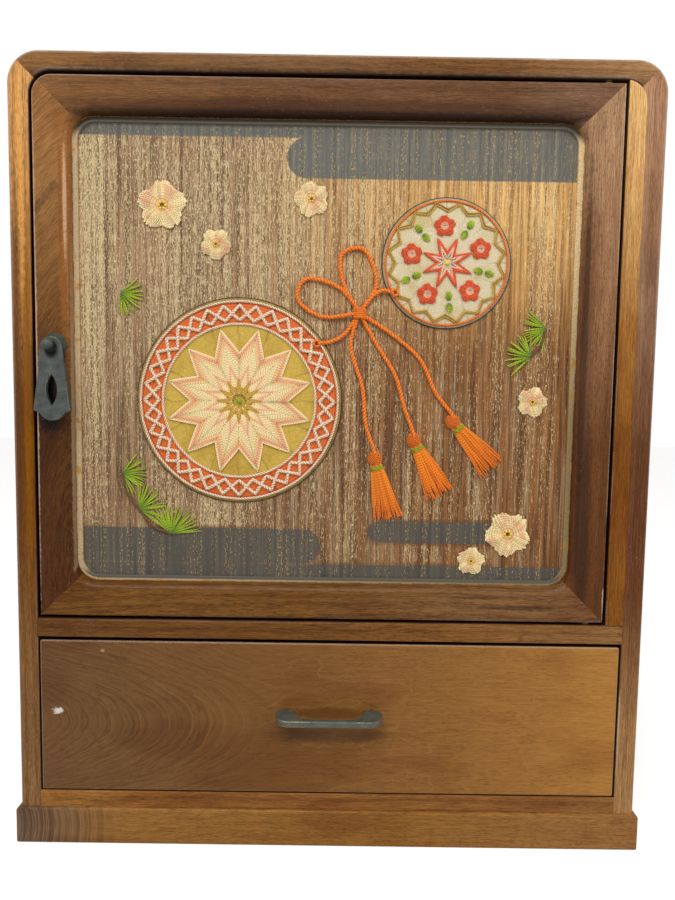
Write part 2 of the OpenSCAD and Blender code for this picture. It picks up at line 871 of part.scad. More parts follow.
// The handle's bow seen from above, its feet on the line y = 0 and its bar forwards
module handle2d() {
    w = handle_w / 2;
    gap = w - foot_w;
    deep = handle_out - handle_bar;
    difference() {
        union() {
            translate([-w, handle_r - handle_out]) square([2 * w, handle_out - handle_r]);
            translate([handle_r - w, -handle_out]) square([2 * (w - handle_r), handle_out]);
            for (s = [-1, 1]) translate([s * (w - handle_r), handle_r - handle_out]) circle(handle_r);
        }
        translate([-gap, handle_in_r - deep]) square([2 * gap, deep - handle_in_r + over]);
        translate([handle_in_r - gap, -deep]) square([2 * (gap - handle_in_r), deep]);
        for (s = [-1, 1]) translate([s * (gap - handle_in_r), handle_in_r - deep]) circle(handle_in_r);
        translate([-w - over, 0]) square([2 * (w + over), handle_r]);
    }
}

module drawer_handle() {
    color([0.35, 0.37, 0.37]) {
        translate([0, leaf_y, handle_z - handle_h / 2]) linear_extrude(handle_h) handle2d();
        for (s = [-1, 1]) translate([s * foot_x, leaf_y - 2, handle_z]) rotate([-90, 0, 0])
            cylinder(r = stud_r, h = stud_end - leaf_y + 2);
    }
}

module handle_nuts() {
    color([0.6, 0.6, 0.6]) for (s = [-1, 1]) translate([s * foot_x, front_back, handle_z])
        rotate([-90, 0, 0]) difference() {
            cylinder(r = nut_r, h = nut_t);
            translate([0, 0, -over]) cylinder(r = stud_r + turn_gap, h = nut_t + 2 * over);
        }
}

stile_left();
stile_right();
top_rail();
side_left();
side_right();
top_board();
back_panel();
back_nails();
divider_rail();
divider_board();
lower_rail();
bottom_board();
hinge_strip();
shelf();
shelf_cleat_left();
shelf_cleat_right();
door_stop_side();
door_stop_top();
catch_magnet();
runner_left();
runner_right();
plinth_front();
plinth_left();
plinth_right();
plinth_back();
plinth_blocks();
pivot_socket_top();
pivot_socket_bottom();
door_stile_left();
door_stile_right();
door_top_rail();
door_bottom_rail();
door_panel();
panel_cove();
panel_beads();
picture_ball_large();
picture_ball_small();
picture_tassels();
pull_rosette();
pull_washer();
strike_plate();
pivot_pin_top();
pivot_pin_bottom();
pull_post();
pull_plate();
drawer_front();
drawer_side_left();
drawer_side_right();
drawer_back();
drawer_bottom();
drawer_handle();
handle_nuts();
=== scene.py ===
import json
import math

import bmesh
import bpy
from mathutils import Matrix, Vector
from mathutils.bvhtree import BVHTree


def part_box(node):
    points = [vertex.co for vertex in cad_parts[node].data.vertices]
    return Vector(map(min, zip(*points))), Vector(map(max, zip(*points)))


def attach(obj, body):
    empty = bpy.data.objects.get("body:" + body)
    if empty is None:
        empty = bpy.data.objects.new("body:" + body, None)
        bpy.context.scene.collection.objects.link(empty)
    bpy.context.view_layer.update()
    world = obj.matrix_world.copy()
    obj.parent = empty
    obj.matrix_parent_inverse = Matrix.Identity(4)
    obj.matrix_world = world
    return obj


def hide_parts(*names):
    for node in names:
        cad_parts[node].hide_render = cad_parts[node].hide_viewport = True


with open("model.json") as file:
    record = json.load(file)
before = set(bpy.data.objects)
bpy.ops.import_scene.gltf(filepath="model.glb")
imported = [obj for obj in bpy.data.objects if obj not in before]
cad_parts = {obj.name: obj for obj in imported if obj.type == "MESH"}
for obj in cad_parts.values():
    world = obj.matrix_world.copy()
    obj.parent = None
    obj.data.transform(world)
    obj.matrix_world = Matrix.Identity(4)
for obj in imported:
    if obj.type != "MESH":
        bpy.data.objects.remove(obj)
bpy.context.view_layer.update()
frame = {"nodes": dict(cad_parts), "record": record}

mm = 0.001
nodes = frame["nodes"]
scene = bpy.context.scene


def addObject(name, data):
    made = bpy.data.objects.new(name, data)
    scene.collection.objects.link(made)
    return made


def paint(red, green, blue):
    # A colour as it is read off a screen, 0 to 255, made linear
    shares = [value / 255 for value in (red, green, blue)]
    return tuple([c / 12.92 if c < 0.04 else ((c + 0.055) / 1.055) ** 2.4 for c in shares] + [1.0])


# Node helpers

class Wire:
    # One socket of a tree. A sign between two wires, or a wire and a number, adds a Math node
    def __init__(self, web, socket):
        self.web = web
        self.socket = socket

    def __abs__(self):
        return self.web.math("ABSOLUTE", self)


def addSign(method, operation):
    setattr(Wire, f"__{method}__", lambda self, other: self.web.math(operation, self, other))
    setattr(Wire, f"__r{method}__", lambda self, other: self.web.math(operation, other, self))


for method, operation in (("add", "ADD"), ("sub", "SUBTRACT"), ("mul", "MULTIPLY"), ("truediv", "DIVIDE"),
                          ("pow", "POWER"), ("mod", "MODULO")):
    addSign(method, operation)


class Web:
    # Adds nodes to one tree and joins them
    def __init__(self, tree):
        self.tree = tree

    def add(self, kind, values=None, **settings):
        made = self.tree.nodes.new(kind)
        for key, value in settings.items():
            setattr(made, key, value)
        self.fill(made, values or {})
        return made

    def fill(self, made, values):
        # Each value is a wire, a node whose first output is meant, or plain
        for key, value in values.items():
            if isinstance(value, bpy.types.Node):
                value = self.wire(value)
            if isinstance(value, Wire):
                self.tree.links.new(value.socket, made.inputs[key])
            elif value is not None:
                made.inputs[key].default_value = value

    def wire(self, made, label=0):
        return Wire(self, made.outputs[label])

    def wires(self, made):
        return {socket.name: Wire(self, socket) for socket in made.outputs}

    def take(self, kind, label=0, values=None, **settings):
        return self.wire(self.add(kind, values, **settings), label)

    def math(self, operation, a, b=None):
        return self.take("ShaderNodeMath", 0, {0: a, 1: b}, operation=operation)

    def clamp(self, wire):
        wire.socket.node.use_clamp = True
        return wire

    def highest(self, a, b):
        return self.math("MAXIMUM", a, b)

    def length(self, a, b):
        return self.math("SQRT", a * a + b * b)

    def vector(self, operation, a, b=None):
        return self.take("ShaderNodeVectorMath", 0, {0: a, 1: b}, operation=operation)

    def split(self, vector):
        made = self.add("ShaderNodeSeparateXYZ", {0: vector})
        return [self.wire(made, axis) for axis in range(3)]

    def join(self, x, y, z):
        return self.take("ShaderNodeCombineXYZ", 0, {0: x, 1: y, 2: z})

    def noise(self, place, detail=2.0, rough=0.5, size=1.0):
        values = {"Vector": place, "Scale": size, "Detail": detail, "Roughness": rough}
        return self.take("ShaderNodeTexNoise", 0, values)

    def fade(self, value, low, high, start=0.0, end=1.0):
        values = {0: value, 1: low, 2: high, 3: start, 4: end}
        return self.take("ShaderNodeMapRange", 0, values, interpolation_type="SMOOTHSTEP")

    def mix(self, amount, a, b, blend="MIX"):
        # Three numbers are a screen colour, four are a linear one
        a, b = [paint(*shade) if isinstance(shade, tuple) and len(shade) == 3 else shade for shade in (a, b)]
        return self.take("ShaderNodeMix", 2, {0: amount, 6: a, 7: b}, data_type="RGBA", blend_type=blend)

    def tint(self, a, b, amount=1.0):
        return self.mix(amount, a, b, "MULTIPLY")

    def ramp(self, value, stops):
        made = self.add("ShaderNodeValToRGB", {0: value})
        elements = made.color_ramp.elements
        while len(elements) < len(stops):
            elements.new(0.5)
        for element, (spot, shade) in zip(elements, stops):
            element.position = spot
            element.color = paint(*shade)
        return self.wire(made)

    def kept(self, name, label="Fac"):
        return self.take("ShaderNodeAttribute", label, attribute_name=name)

    def bump(self, height, deep, strength):
        return self.take("ShaderNodeBump", 0, {"Height": height, "Distance": deep, "Strength": strength})

    def group(self, tree, values):
        return self.wires(self.add("ShaderNodeGroup", values, node_tree=tree))


zero = (0, 0, 0)
# A group's socket follows from the value it starts with, or from a word where it starts with none
socketKinds = {float: "NodeSocketFloat", int: "NodeSocketInt", tuple: "NodeSocketVector",
               "geometry": "NodeSocketGeometry", "material": "NodeSocketMaterial"}


def makeGroup(name, inputs, outputs, kindOfTree="ShaderNodeTree", outputKind=float):
    # A node group, its web, its input wires and its output node
    tree = bpy.data.node_groups.new(name, kindOfTree)
    for label, value in inputs.items():
        kind = socketKinds[value if isinstance(value, str) else type(value)]
        socket = tree.interface.new_socket(name=label, in_out="INPUT", socket_type=kind)
        if not isinstance(value, str):
            socket.default_value = value
    for label in outputs:
        tree.interface.new_socket(name=label, in_out="OUTPUT", socket_type=socketKinds[outputKind])
    web = Web(tree)
    return tree, web, web.wires(web.add("NodeGroupInput")), web.add("NodeGroupOutput")


def newMaterial(name):
    # A material, its web, its shader, and the place on the object in millimetres
    made = bpy.data.materials.new(name)
    made.use_nodes = True
    web = Web(made.node_tree)
    sized = web.vector("MULTIPLY", web.take("ShaderNodeTexCoord", "Object"), (1000, 1000, 1000))
    return made, web, made.node_tree.nodes["Principled BSDF"], sized


# Wood figure: growth rings round a heart line, fibre, pores and slow stains, all in millimetres

def makeWoodFigure():
    tree, web, given, end = makeGroup("woodFigure", {
        "Place": zero, "Heart": zero, "Stretch": 0.03, "Power": 1.0, "Bend": 0.0, "Ring": 4.0,
        "Waver": 1.2, "Crowd": 0.56, "Slant": 0.45, "Reach From": 9000.0, "Reach To": 9900.0,
        "Seed": 0.0}, ["Late", "Line", "Streak", "Pore", "Blotch", "Height"])
    along, across, depth = web.split(web.vector("SUBTRACT", given["Place"], given["Heart"]))
    seed = given["Seed"]

    def cloud(lengthwise, crosswise, deepwise, detail, rough=0.5, measure=across):
        place = web.join(along * lengthwise + seed, measure * crosswise, depth * deepwise)
        return web.noise(place, detail, rough)

    warp = cloud(0.016, 0.06, 0.06, 2) - 0.5 + (cloud(0.07, 0.3, 0.3, 2) - 0.5) * 0.22
    shifted = warp * (given["Waver"] * 4) + across - along * along * given["Bend"]
    reach = abs(along) ** given["Power"] * given["Stretch"]
    distance = web.math("SQRT", depth * depth + (reach * reach + shifted * shifted))
    years = distance / given["Ring"]
    years = web.noise(web.join(years * 0.6 + seed, 0.0, 0.0), 1) * 1.6 + years
    phase = web.math("FRACT", years)
    # The rings die out towards one end of the board, where straight fibre takes over
    reach = web.fade(web.split(given["Place"])[0], given["Reach From"], given["Reach To"], 1.0, 0.0)
    late = web.fade(phase, 0.25, 0.9) * web.fade(phase, 1.0, 0.93) * reach
    ringNumber = web.math("FLOOR", years) * 7.31 + seed
    strength = web.noise(web.join(ringNumber, along * 0.03, across * 0.05), 2)
    line = web.fade(abs(phase - 0.5), 0.43, 0.49) * (web.fade(strength, 0.4, 0.62) * reach)
    straight = warp * 3.0 + across
    # A share of the plain width keeps the fibre fine where the board lies flat to the rings
    distance = abs(shifted) * given["Slant"] + distance

    def strands(*shape):
        # Fibre that follows the rings gives way to straight fibre where the rings die out
        plain, ringed = [cloud(*shape, measure=measure) for measure in (straight, distance)]
        return (ringed - plain) * reach + plain

    streak = strands(0.22, 3.0, 2.4, 2, 0.6) * 0.5 + strands(0.06, 1.15, 0.9, 4, 0.66) * 0.5
    dash = strands(0.46, 2.9, 2.3, 1, 0.45)
    herd = cloud(0.03, 0.16, 0.1, 2, measure=distance)
    crowd = (herd - 0.5) * -0.28 + (late * 0.03 + given["Crowd"])
    pore = web.clamp((dash - crowd) * 10.0)
    web.fill(end, {"Late": late, "Line": line, "Streak": streak, "Pore": pore,
                   "Blotch": cloud(0.013, 0.035, 0.035, 3, 0.55), "Height": pore * -0.6 + streak * 0.4})
    return tree


# Rubbed arrises: the piece's own edge attribute broken up by noise

def makeRubbedEdge():
    tree, web, given, end = makeGroup("rubbedEdge", {
        "Edge": 0.0, "Place": zero, "Amount": 0.5}, ["Mask"])
    place = given["Place"]
    level = web.noise(place, 3, size=0.05) * 0.9 + web.noise(place, 3, 0.65, size=1.1) * 0.7
    rubbed = web.fade(level + given["Amount"] * 0.55, 0.86, 1.06)
    grit = web.fade(web.noise(place, 2, 0.6, size=2.2), 0.36, 0.6, 0.35, 1.0)
    web.fill(end, {"Mask": web.clamp(rubbed * grit * given["Edge"])})
    return tree


# Small pale specks in the varnish, and how dull it is from place to place

def makeScuffs():
    tree, web, given, end = makeGroup("scuffs", {
        "Place": zero, "Amount": 0.3, "Seed": 0.0}, ["Speck", "Haze"])
    shifted = web.vector("ADD", given["Place"], web.join(given["Seed"], given["Seed"], 0.0))
    speck = web.fade(web.noise(shifted, 1, size=1.6), 0.72, 0.78)
    gate = web.fade(web.noise(shifted, 2, size=0.04), 0.45, 0.65)
    web.fill(end, {"Speck": speck * gate * given["Amount"], "Haze": web.noise(shifted, 4, 0.6, size=0.09)})
    return tree


# One soft spot with a ragged edge

def makeDab():
    tree, web, given, end = makeGroup("dab", {
        "Place": zero, "Centre": zero, "Size": (5, 5, 5), "Ragged": 1.6}, ["Mask"])
    offset = web.vector("DIVIDE", web.vector("SUBTRACT", given["Place"], given["Centre"]), given["Size"])
    length = web.take("ShaderNodeVectorMath", "Value", {0: offset}, operation="LENGTH")
    length = (web.noise(given["Place"], 4, 0.65, size=0.35) - 0.5) * given["Ragged"] + length
    web.fill(end, {"Mask": web.fade(length, 1.0, 0.45)})
    return tree


# Painted shade in the gaps beside the door and the drawer: just behind the face, on one side of an outline

def makeCrevice():
    tree, web, given, end = makeGroup("crevice", {
        "Place": zero, "Middle": zero, "Half": (9, 9, 9), "Side": 1.0, "Face": -113.5}, ["Mask"])
    offset = web.vector("ABSOLUTE", web.vector("SUBTRACT", given["Place"], given["Middle"]))
    across, inward, up = web.split(web.vector("SUBTRACT", offset, given["Half"]))
    beyond = web.highest(across, up) * given["Side"]
    depth = web.split(given["Place"])[1] - given["Face"]
    # Dark from a millimetre behind the face, and gone eleven millimetres in
    near = web.fade(depth, 0.3, 1.2) * web.fade(depth, 11.0, 6.0)
    web.fill(end, {"Mask": web.fade(beyond, -0.5, 0.5) * near})
    return tree


woodFigure = makeWoodFigure()
rubbedEdge = makeRubbedEdge()
creviceGroup = makeCrevice()
scuffs = makeScuffs()
dabGroup = makeDab()

# What early wood, late wood and pores do to a board's own colour
woodTints = {"lift": (1.28, 1.24, 1.18, 1), "sink": (0.56, 0.5, 0.43, 1), "pore": (0.3, 0.26, 0.24, 1)}

# Which of the object's axes run along the grain, across it and into the board
grainOrders = {
    "up": (2, 0, 1), "wide": (0, 2, 1), "sideUp": (2, 1, 0), "topWide": (0, 1, 2), "deep": (1, 2, 0),
}

crevices = {  # middle and half size of the outline, the side that takes painted shade, and the face's depth
    "case": ((0, 0, 201.2), (151.5, 0, 181.2), -1.0, -114.05),
    "door": ((-4.25, 0, 246.45), (137.5, 0, 127.4), 1.0, -113.45),
    "drawer": ((0, 0, 65.9), (142.6, 0, 36.8), 1.0, -113.45),
}

# A board's look where its own settings don't say otherwise
woodDefaults = {
    "stretch": 0.03, "power": 1.0, "bend": 0.0, "ring": 4.0, "waver": 1.2, "crowd": 0.56, "slant": 0.45,
    "ringReach": (9000, 9900), "rings": 0.3, "fibre": 3.9, "stain": 0.5, "stainColour": (196, 160, 134),
    "pores": 0.42, "wear": 0.5, "wornColour": (196, 172, 150), "specks": 0.4, "rough": 0.28,
    "stains": [], "chips": [], "spared": [],
}


def spotAt(web, sized, centre, size, ragged):
    return web.group(dabGroup, {"Place": sized, "Centre": centre, "Size": size, "Ragged": ragged})["Mask"]


def addDabs(web, colour, sized, dabs):
    # Local stains, rubs and chips, and painted shade and highlights, each a soft-edged spot of its own
    # colour
    for centre, size, shade, share, *ragged in dabs:
        inside = spotAt(web, sized, centre, size, ragged[0] if ragged else 1.6)
        colour = web.mix(inside * share, colour, shade)
    return colour


def wornEdges(web, sized, amount):
    values = {"Edge": web.kept("edge"), "Place": sized, "Amount": amount}
    return web.group(rubbedEdge, values)["Mask"]


def makeWood(name, look):
    look = {**woodDefaults, **look}
    made, web, shader, sized = newMaterial(name)
    parts = web.split(sized)
    grain = [parts[axis] for axis in grainOrders[look["grain"]]]
    along = grain[0]
    labels = ("Heart", "Stretch", "Power", "Bend", "Ring", "Waver", "Crowd", "Slant", "Seed")
    figure = web.group(woodFigure, {
        **{label: look[label.lower()] for label in labels}, "Place": web.join(*grain),
        "Reach From": look["ringReach"][0], "Reach To": look["ringReach"][1]})
    tone = (figure["Streak"] - 0.5) * look["fibre"] + figure["Late"] * look["rings"]
    tone = web.clamp(tone + (0.5 - look["rings"] * 0.4))
    # The board's tone runs along its grain, between stops in millimetres; on the upright boards the stops
    # also hold painted sheen, lighter at the top and darker at mid height
    low, high = look["run"][0][0], look["run"][-1][0]
    share = web.take("ShaderNodeMapRange", 0, {0: along, 1: low, 2: high, 3: 0.0, 4: 1.0})
    base = web.ramp(share, [((spot - low) / (high - low), shade) for spot, shade in look["run"]])
    colour = web.tint(base, web.mix(tone, woodTints["lift"], woodTints["sink"]))
    stain = web.fade(figure["Blotch"], 0.44, 0.66)
    colour = web.tint(colour, look["stainColour"], stain * look["stain"])
    if "lines" in look:
        colour = web.mix(figure["Line"] * look["lines"], colour, look["lineColour"])
    if "veins" in look:
        broken = web.fade(figure["Streak"], 0.44, 0.54) * web.fade(along, -90, 0)
        vein = web.fade(abs(figure["Blotch"] - 0.5), 0.009, 0.001) * broken
        colour = web.mix(vein * look["veins"], colour, look["veinColour"])
    colour = addDabs(web, colour, sized, look["stains"])
    colour = web.mix(figure["Pore"] * look["pores"], colour, web.tint(colour, woodTints["pore"]))
    worn = wornEdges(web, sized, look["wear"])
    for centre, size in look["spared"]:  # arrises that hands don't reach
        worn = worn * (1.0 - spotAt(web, sized, centre, size, 0.4))
    marks = web.group(scuffs, {"Place": sized, "Amount": look["specks"], "Seed": look["seed"]})
    colour = web.mix(worn * 0.6, colour, look["wornColour"])
    colour = web.mix(marks["Speck"], colour, (206, 184, 158))
    colour = addDabs(web, colour, sized, look["chips"])
    # Painted shade: inside the gaps the faces just behind the front go nearly black
    if "crevice" in look:
        outline = dict(zip(("Middle", "Half", "Side", "Face"), crevices[look["crevice"]]))
        gapShade = web.group(creviceGroup, {"Place": sized, **outline})["Mask"]
        colour = web.mix(gapShade * 0.9, colour, (22, 13, 8))
    rough = worn * 0.2 + (figure["Pore"] * 0.15 + (marks["Haze"] * 0.2 + look["rough"]))
    web.fill(shader, {"Base Color": colour, "Roughness": rough, "Specular IOR Level": 0.05,
                      "Coat Weight": 0.11, "Coat Roughness": 0.16,
                      "Normal": web.bump(figure["Height"], 0.00012, 0.45)})
    return made


# Softened pieces: a merged copy of a CAD node with its free arrises rounded

# What counts as one corner, as flat, as an arris and as a bend, and where a neighbour covers an arris
easing = {
    "merge": 2e-6, "flat": math.radians(0.4), "arris": math.radians(28), "bend": math.radians(26),
    "shortest": 0.22 * mm,  # the rims of small holes and threads stay sharp
    "cover": 0.6 * mm, "inset": 0.4 * mm, "lift": 0.12 * mm, "shares": (0.12, 0.5, 0.88), "enough": 2,
}
treeCache = {}


def mergedCopy(name):
    work = bmesh.new()
    work.from_mesh(nodes[name].data)
    bmesh.ops.remove_doubles(work, verts=work.verts, dist=easing["merge"])
    bmesh.ops.dissolve_limit(work, angle_limit=easing["flat"], verts=work.verts, edges=work.edges)
    return work


def surfaceTree(name):
    if name not in treeCache:
        work = bmesh.new()
        work.from_mesh(nodes[name].data)
        treeCache[name] = BVHTree.FromBMesh(work)
        work.free()
    return treeCache[name]


def neighbours(name):
    low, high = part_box(name)
    near = []
    for other in nodes:
        otherLow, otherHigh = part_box(other)
        meets = all(low[i] < otherHigh[i] + mm and otherLow[i] < high[i] + mm for i in range(3))
        if meets and other != name:
            near.append(surfaceTree(other))
    return near


def isCovered(point, near):
    for tree in near:
        spot, normal, index, distance = tree.find_nearest(point, easing["cover"])
        if spot is not None and (point - spot).dot(normal) < 0:
            return True
    return False


def isFreeEdge(edge, near):
    start, end = [vert.co for vert in edge.verts]
    for face in edge.link_faces:
        inward = face.calc_center_median() - (start + end) / 2
        inward = inward - inward.project(end - start)
        offset = inward.normalized() * easing["inset"] + face.normal * easing["lift"]
        hits = sum(isCovered(start.lerp(end, share) + offset, near) for share in easing["shares"])
        if hits >= easing["enough"]:
            return False
    return True


def soften(name, eased, steps, wide, reshape):
    # The copy's bevel gets an edge attribute of 1 in its middle and 0 where it meets the faces
    work = mergedCopy(name)
    if reshape:
        reshape(work)
    work.normal_update()
    near = neighbours(name)
    groups = [(shape, []) for shape in wide]
    picked = []
    for edge in work.edges:
        if len(edge.link_faces) != 2 or not edge.is_convex or edge.calc_length() < easing["shortest"]:
            continue
        if edge.calc_face_angle(0) < easing["arris"]:
            continue
        middle = (edge.verts[0].co + edge.verts[1].co) / 2 / mm
        chosen = [(shape, edges) for shape, edges in groups if shape["where"](middle)]
        if chosen and (chosen[0][0].get("all") or isFreeEdge(edge, near)):
            chosen[0][1].append(edge)
        elif not chosen and isFreeEdge(edge, near):
            picked.append(edge)
    made = set()
    for size, edges in [(shape["round"], edges) for shape, edges in groups] + [(eased, picked)]:
        edges = [edge for edge in edges if edge.is_valid]
        if edges and size > 0:
            result = bmesh.ops.bevel(work, geom=edges, offset=size * mm, offset_type="OFFSET",
                                     segments=steps, profile=0.5, affect="EDGES", clamp_overlap=False)
            made = {face for face in made if face.is_valid} | set(result["faces"])
    low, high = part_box(name)
    layer = work.verts.layers.float.new("edge")
    for vert in work.verts:
        vert.co = [min(max(vert.co[i], low[i]), high[i]) for i in range(3)]
        vert[layer] = 1.0 if vert.link_faces and all(face in made for face in vert.link_faces) else 0.0
    for face in work.faces:
        face.smooth = True
    for edge in work.edges:
        inBevel = [face in made for face in edge.link_faces]
        if len(inBevel) == 2:
            joint = inBevel[0] != inBevel[1]
            edge.smooth = not joint and (all(inBevel) or edge.calc_face_angle(0) < easing["bend"])
    mesh = bpy.data.meshes.new(name + "Soft")
    work.to_mesh(mesh)
    work.free()
    return addObject(name + "_soft", mesh)


bodyOf = {node: body for body, members in frame["record"]["behaviour"]["bodies"].items() for node in members}


def dress(name, material, eased, steps=3, wide=(), reshape=None):
    piece = soften(name, eased, steps, wide, reshape)
    piece.data.materials.append(material)
    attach(piece, bodyOf[name])
    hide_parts(name)
    return piece


print("stage: tools ready")

# Camera: found from the photograph's outline

camera = {"place": (0.00142, -0.44476, 0.22693), "tilt": 85.595, "yaw": -0.1503, "roll": 0.8673,
          "lens": 27.298, "sensor": 36, "near": 0.01}
cameraData = bpy.data.cameras.new("camera")
cameraData.lens = camera["lens"]
cameraData.sensor_width = camera["sensor"]
cameraData.sensor_fit = "AUTO"
cameraData.clip_start = camera["near"]
cameraObject = addObject("camera", cameraData)
turned = (Matrix.Rotation(math.radians(camera["yaw"]), 4, "Z")
          @ Matrix.Rotation(math.radians(camera["tilt"]), 4, "X")
          @ Matrix.Rotation(math.radians(camera["roll"]), 4, "Z"))
cameraObject.matrix_world = Matrix.Translation(camera["place"]) @ turned
scene.camera = cameraObject
scene.view_settings.view_transform = "Standard"

# Light: one broad lamp above and in front, a weaker one from the right, and a pale room

lamps = {
    "overhead": {"place": (-0.25, -1.05, 1.25), "size": 0.8, "power": 13.5},
    "side": {"place": (1.15, -0.75, 0.55), "size": 0.35, "power": 4.0},
}
lampTarget = Vector((0, -0.05, 0.2))
for lampName, lamp in lamps.items():
    lampData = bpy.data.lights.new(lampName, "AREA")
    lampData.size = lamp["size"]
    lampData.energy = lamp["power"]
    lampObject = addObject(lampName, lampData)
    lampObject.location = lamp["place"]
    aim = lampTarget - Vector(lamp["place"])
    lampObject.rotation_euler = aim.to_track_quat("-Z", "Y").to_euler()

room = {"light": 0.46, "tint": (1.0, 0.985, 0.96, 1), "white": (1, 1, 1, 1)}
floorLook = {
    "half": 3.0, "colour": (0.62, 0.61, 0.60, 1), "rough": 0.9, "white": (1, 1, 1, 1),
    "glow": 0.6,  # seen by the camera only, so the floor keeps its shadow
}
world = bpy.data.worlds.new("room")
scene.world = world
world.use_nodes = True
world.node_tree.nodes.clear()
web = Web(world.node_tree)
rays = web.wires(web.add("ShaderNodeLightPath"))
seen = web.highest(rays["Is Camera Ray"], web.highest(rays["Is Glossy Ray"], rays["Is Transmission Ray"]))
dim = web.add("ShaderNodeBackground", {"Color": room["tint"], "Strength": room["light"]})
bright = web.add("ShaderNodeBackground", {"Color": room["white"], "Strength": 1.0})
web.add("ShaderNodeOutputWorld", {0: web.add("ShaderNodeMixShader", {0: seen, 1: dim, 2: bright})})

floorMesh = bpy.data.meshes.new("floor")
floorWork = bmesh.new()
bmesh.ops.create_grid(floorWork, x_segments=1, y_segments=1, size=floorLook["half"])
floorWork.to_mesh(floorMesh)
floorWork.free()
floorPaint, web, shader, sized = newMaterial("floorPaint")
rays = web.wires(web.add("ShaderNodeLightPath"))
shown = web.highest(rays["Is Camera Ray"], rays["Is Glossy Ray"])
web.fill(shader, {"Base Color": floorLook["colour"], "Roughness": floorLook["rough"],
                  "Emission Color": floorLook["white"], "Emission Strength": shown * floorLook["glow"]})
floorMesh.materials.append(floorPaint)
floor = addObject("floor", floorMesh)

print("stage: camera, light and floor ready")

# Boards of the case, each cut from its own piece of wood: its tone runs along its grain, and on the upright
# boards it holds painted sheen

caseLooks = {
    "stile_left": {
        "grain": "up", "heart": (230, -112, -60), "ring": 2.8, "stretch": 0.02, "rings": 0.35,
        "run": [(60, (136, 101, 62)), (160, (111, 65, 3)), (215, (108, 61, 1)), (355, (208, 155, 92))],
        "seed": 1.3, "stain": 0.3, "wear": 0.8, "specks": 0.7,
        "spared": [((-144.6, -114, 246), (3.0, 20, 190))],
        "stains": [
            ((-153.0, -114, 225), (4.2, 60, 130), (84, 52, 28), 0.6, 0.9),
            ((-147.6, -114, 225), (2.4, 20, 120), (146, 90, 6), 0.45, 0.9),
            # The pale dab high on the stile is partly the wood's own tone and partly a painted highlight
            ((-149, -114, 330), (2.0, 60, 70), (236, 172, 88), 0.5)]},
    "stile_right": {
        "grain": "up", "heart": (150, 190, -40), "ring": 4.0, "stretch": 0.02, "rings": 0.3,
        "run": [(40, (166, 127, 82)), (130, (102, 61, 32)), (205, (100, 63, 36)), (350, (184, 148, 119))],
        "seed": 4.1, "stain": 0.55, "wear": 0.75, "specks": 0.9, "slant": 0.9, "pores": 0.3,
        "stains": [((149, -114, 292), (7, 20, 16), (116, 82, 62), 0.4)],
        "chips": [((145.4, -114, 62), (0.6, 4, 28), (190, 170, 148), 0.6, 0.9)]},
    "top_rail": {
        "grain": "wide", "heart": (20, 340, -150), "ring": 5.5, "stretch": 0.06, "rings": 0.3,
        "run": [(-140, (136, 96, 52)), (-95, (117, 80, 36)), (80, (122, 84, 46)), (150, (160, 122, 84))],
        "seed": 7.7, "stain": 0.4, "wear": 0.75, "specks": 0.6,
        "spared": [((-4, -114, 373), (240, 20, 10))],
        # Painted shade along the rounded lower edge, which faces down
        "stains": [((-4, -114, 375.6), (230, 20, 4.6), (58, 36, 22), 0.7, 0.3)],
        "chips": [
            ((-112, -113.8, 385.8), (7, 1.6, 0.7), (212, 202, 186), 0.6, 2.2),
            ((-92, -113.8, 385.8), (5, 1.6, 0.6), (212, 202, 186), 0.6, 2.2),
            ((99, -113.8, 385.5), (6, 1.6, 0.6), (206, 192, 174), 0.6, 2.2)]},
    "hinge_strip": {
        "grain": "up", "heart": (180, 100, -60), "ring": 6.0, "stretch": 0.02, "rings": 0.2,
        "run": [(125, (141, 92, 26)), (205, (124, 75, 22)), (260, (156, 106, 46)), (356, (225, 181, 120))],
        "seed": 2.2, "fibre": 4.4, "slant": 1.0, "stain": 0.55, "wear": 0.2, "pores": 0.35, "specks": 0.15,
        "stainColour": (206, 162, 124)},
    "divider_rail": {
        "grain": "wide", "heart": (30, 60, -150), "ring": 4.2, "stretch": 0.05, "rings": 0.3,
        "run": [(-130, (106, 69, 28)), (-30, (108, 69, 26)), (60, (128, 87, 40)), (140, (136, 99, 58))],
        "seed": 5.5, "fibre": 5.0, "stain": 0.4, "wear": 0.6,
        "stains": [((94.5, -114, 108.6), (1.9, 3, 2.6), (78, 50, 28), 0.5, 0.6)]},
    "lower_rail": {
        "grain": "wide", "heart": (60, -10, -150), "ring": 4.5, "stretch": 0.05, "rings": 0.35,
        "run": [(-130, (158, 110, 54)), (-30, (140, 93, 43)), (60, (138, 92, 44)), (130, (144, 100, 52))],
        "seed": 9.4, "stain": 0.5, "wear": 0.3},
    "side_left": {
        "grain": "sideUp", "heart": (120, 10, -210), "ring": 5.0, "stretch": 0.10, "rings": 0.4,
        "run": [(0, (126, 88, 52)), (160, (124, 84, 46)), (386, (134, 94, 54))], "seed": 3.1, "stain": 0.5,
        "wear": 0.6},
    "side_right": {
        "grain": "sideUp", "heart": (260, -10, 205), "ring": 5.0, "stretch": 0.10, "rings": 0.4,
        "run": [(0, (126, 88, 54)), (160, (120, 82, 48)), (386, (134, 96, 60))], "seed": 6.6, "stain": 0.5,
        "wear": 0.6},
    "top_board": {
        "grain": "topWide", "heart": (-60, 0, 330), "ring": 5.0, "stretch": 0.10, "rings": 0.4,
        "run": [(-155, (134, 96, 58)), (0, (126, 88, 52)), (155, (138, 100, 64))], "seed": 8.2,
        "stain": 0.5, "wear": 0.7, "specks": 0.8},
}
plainPlinth = {"grain": "deep", "ring": 5.0, "stretch": 0.05, "rings": 0.4, "stain": 0.5, "wear": 0.5,
               "run": [(-115, (128, 90, 54)), (125, (124, 84, 46))]}
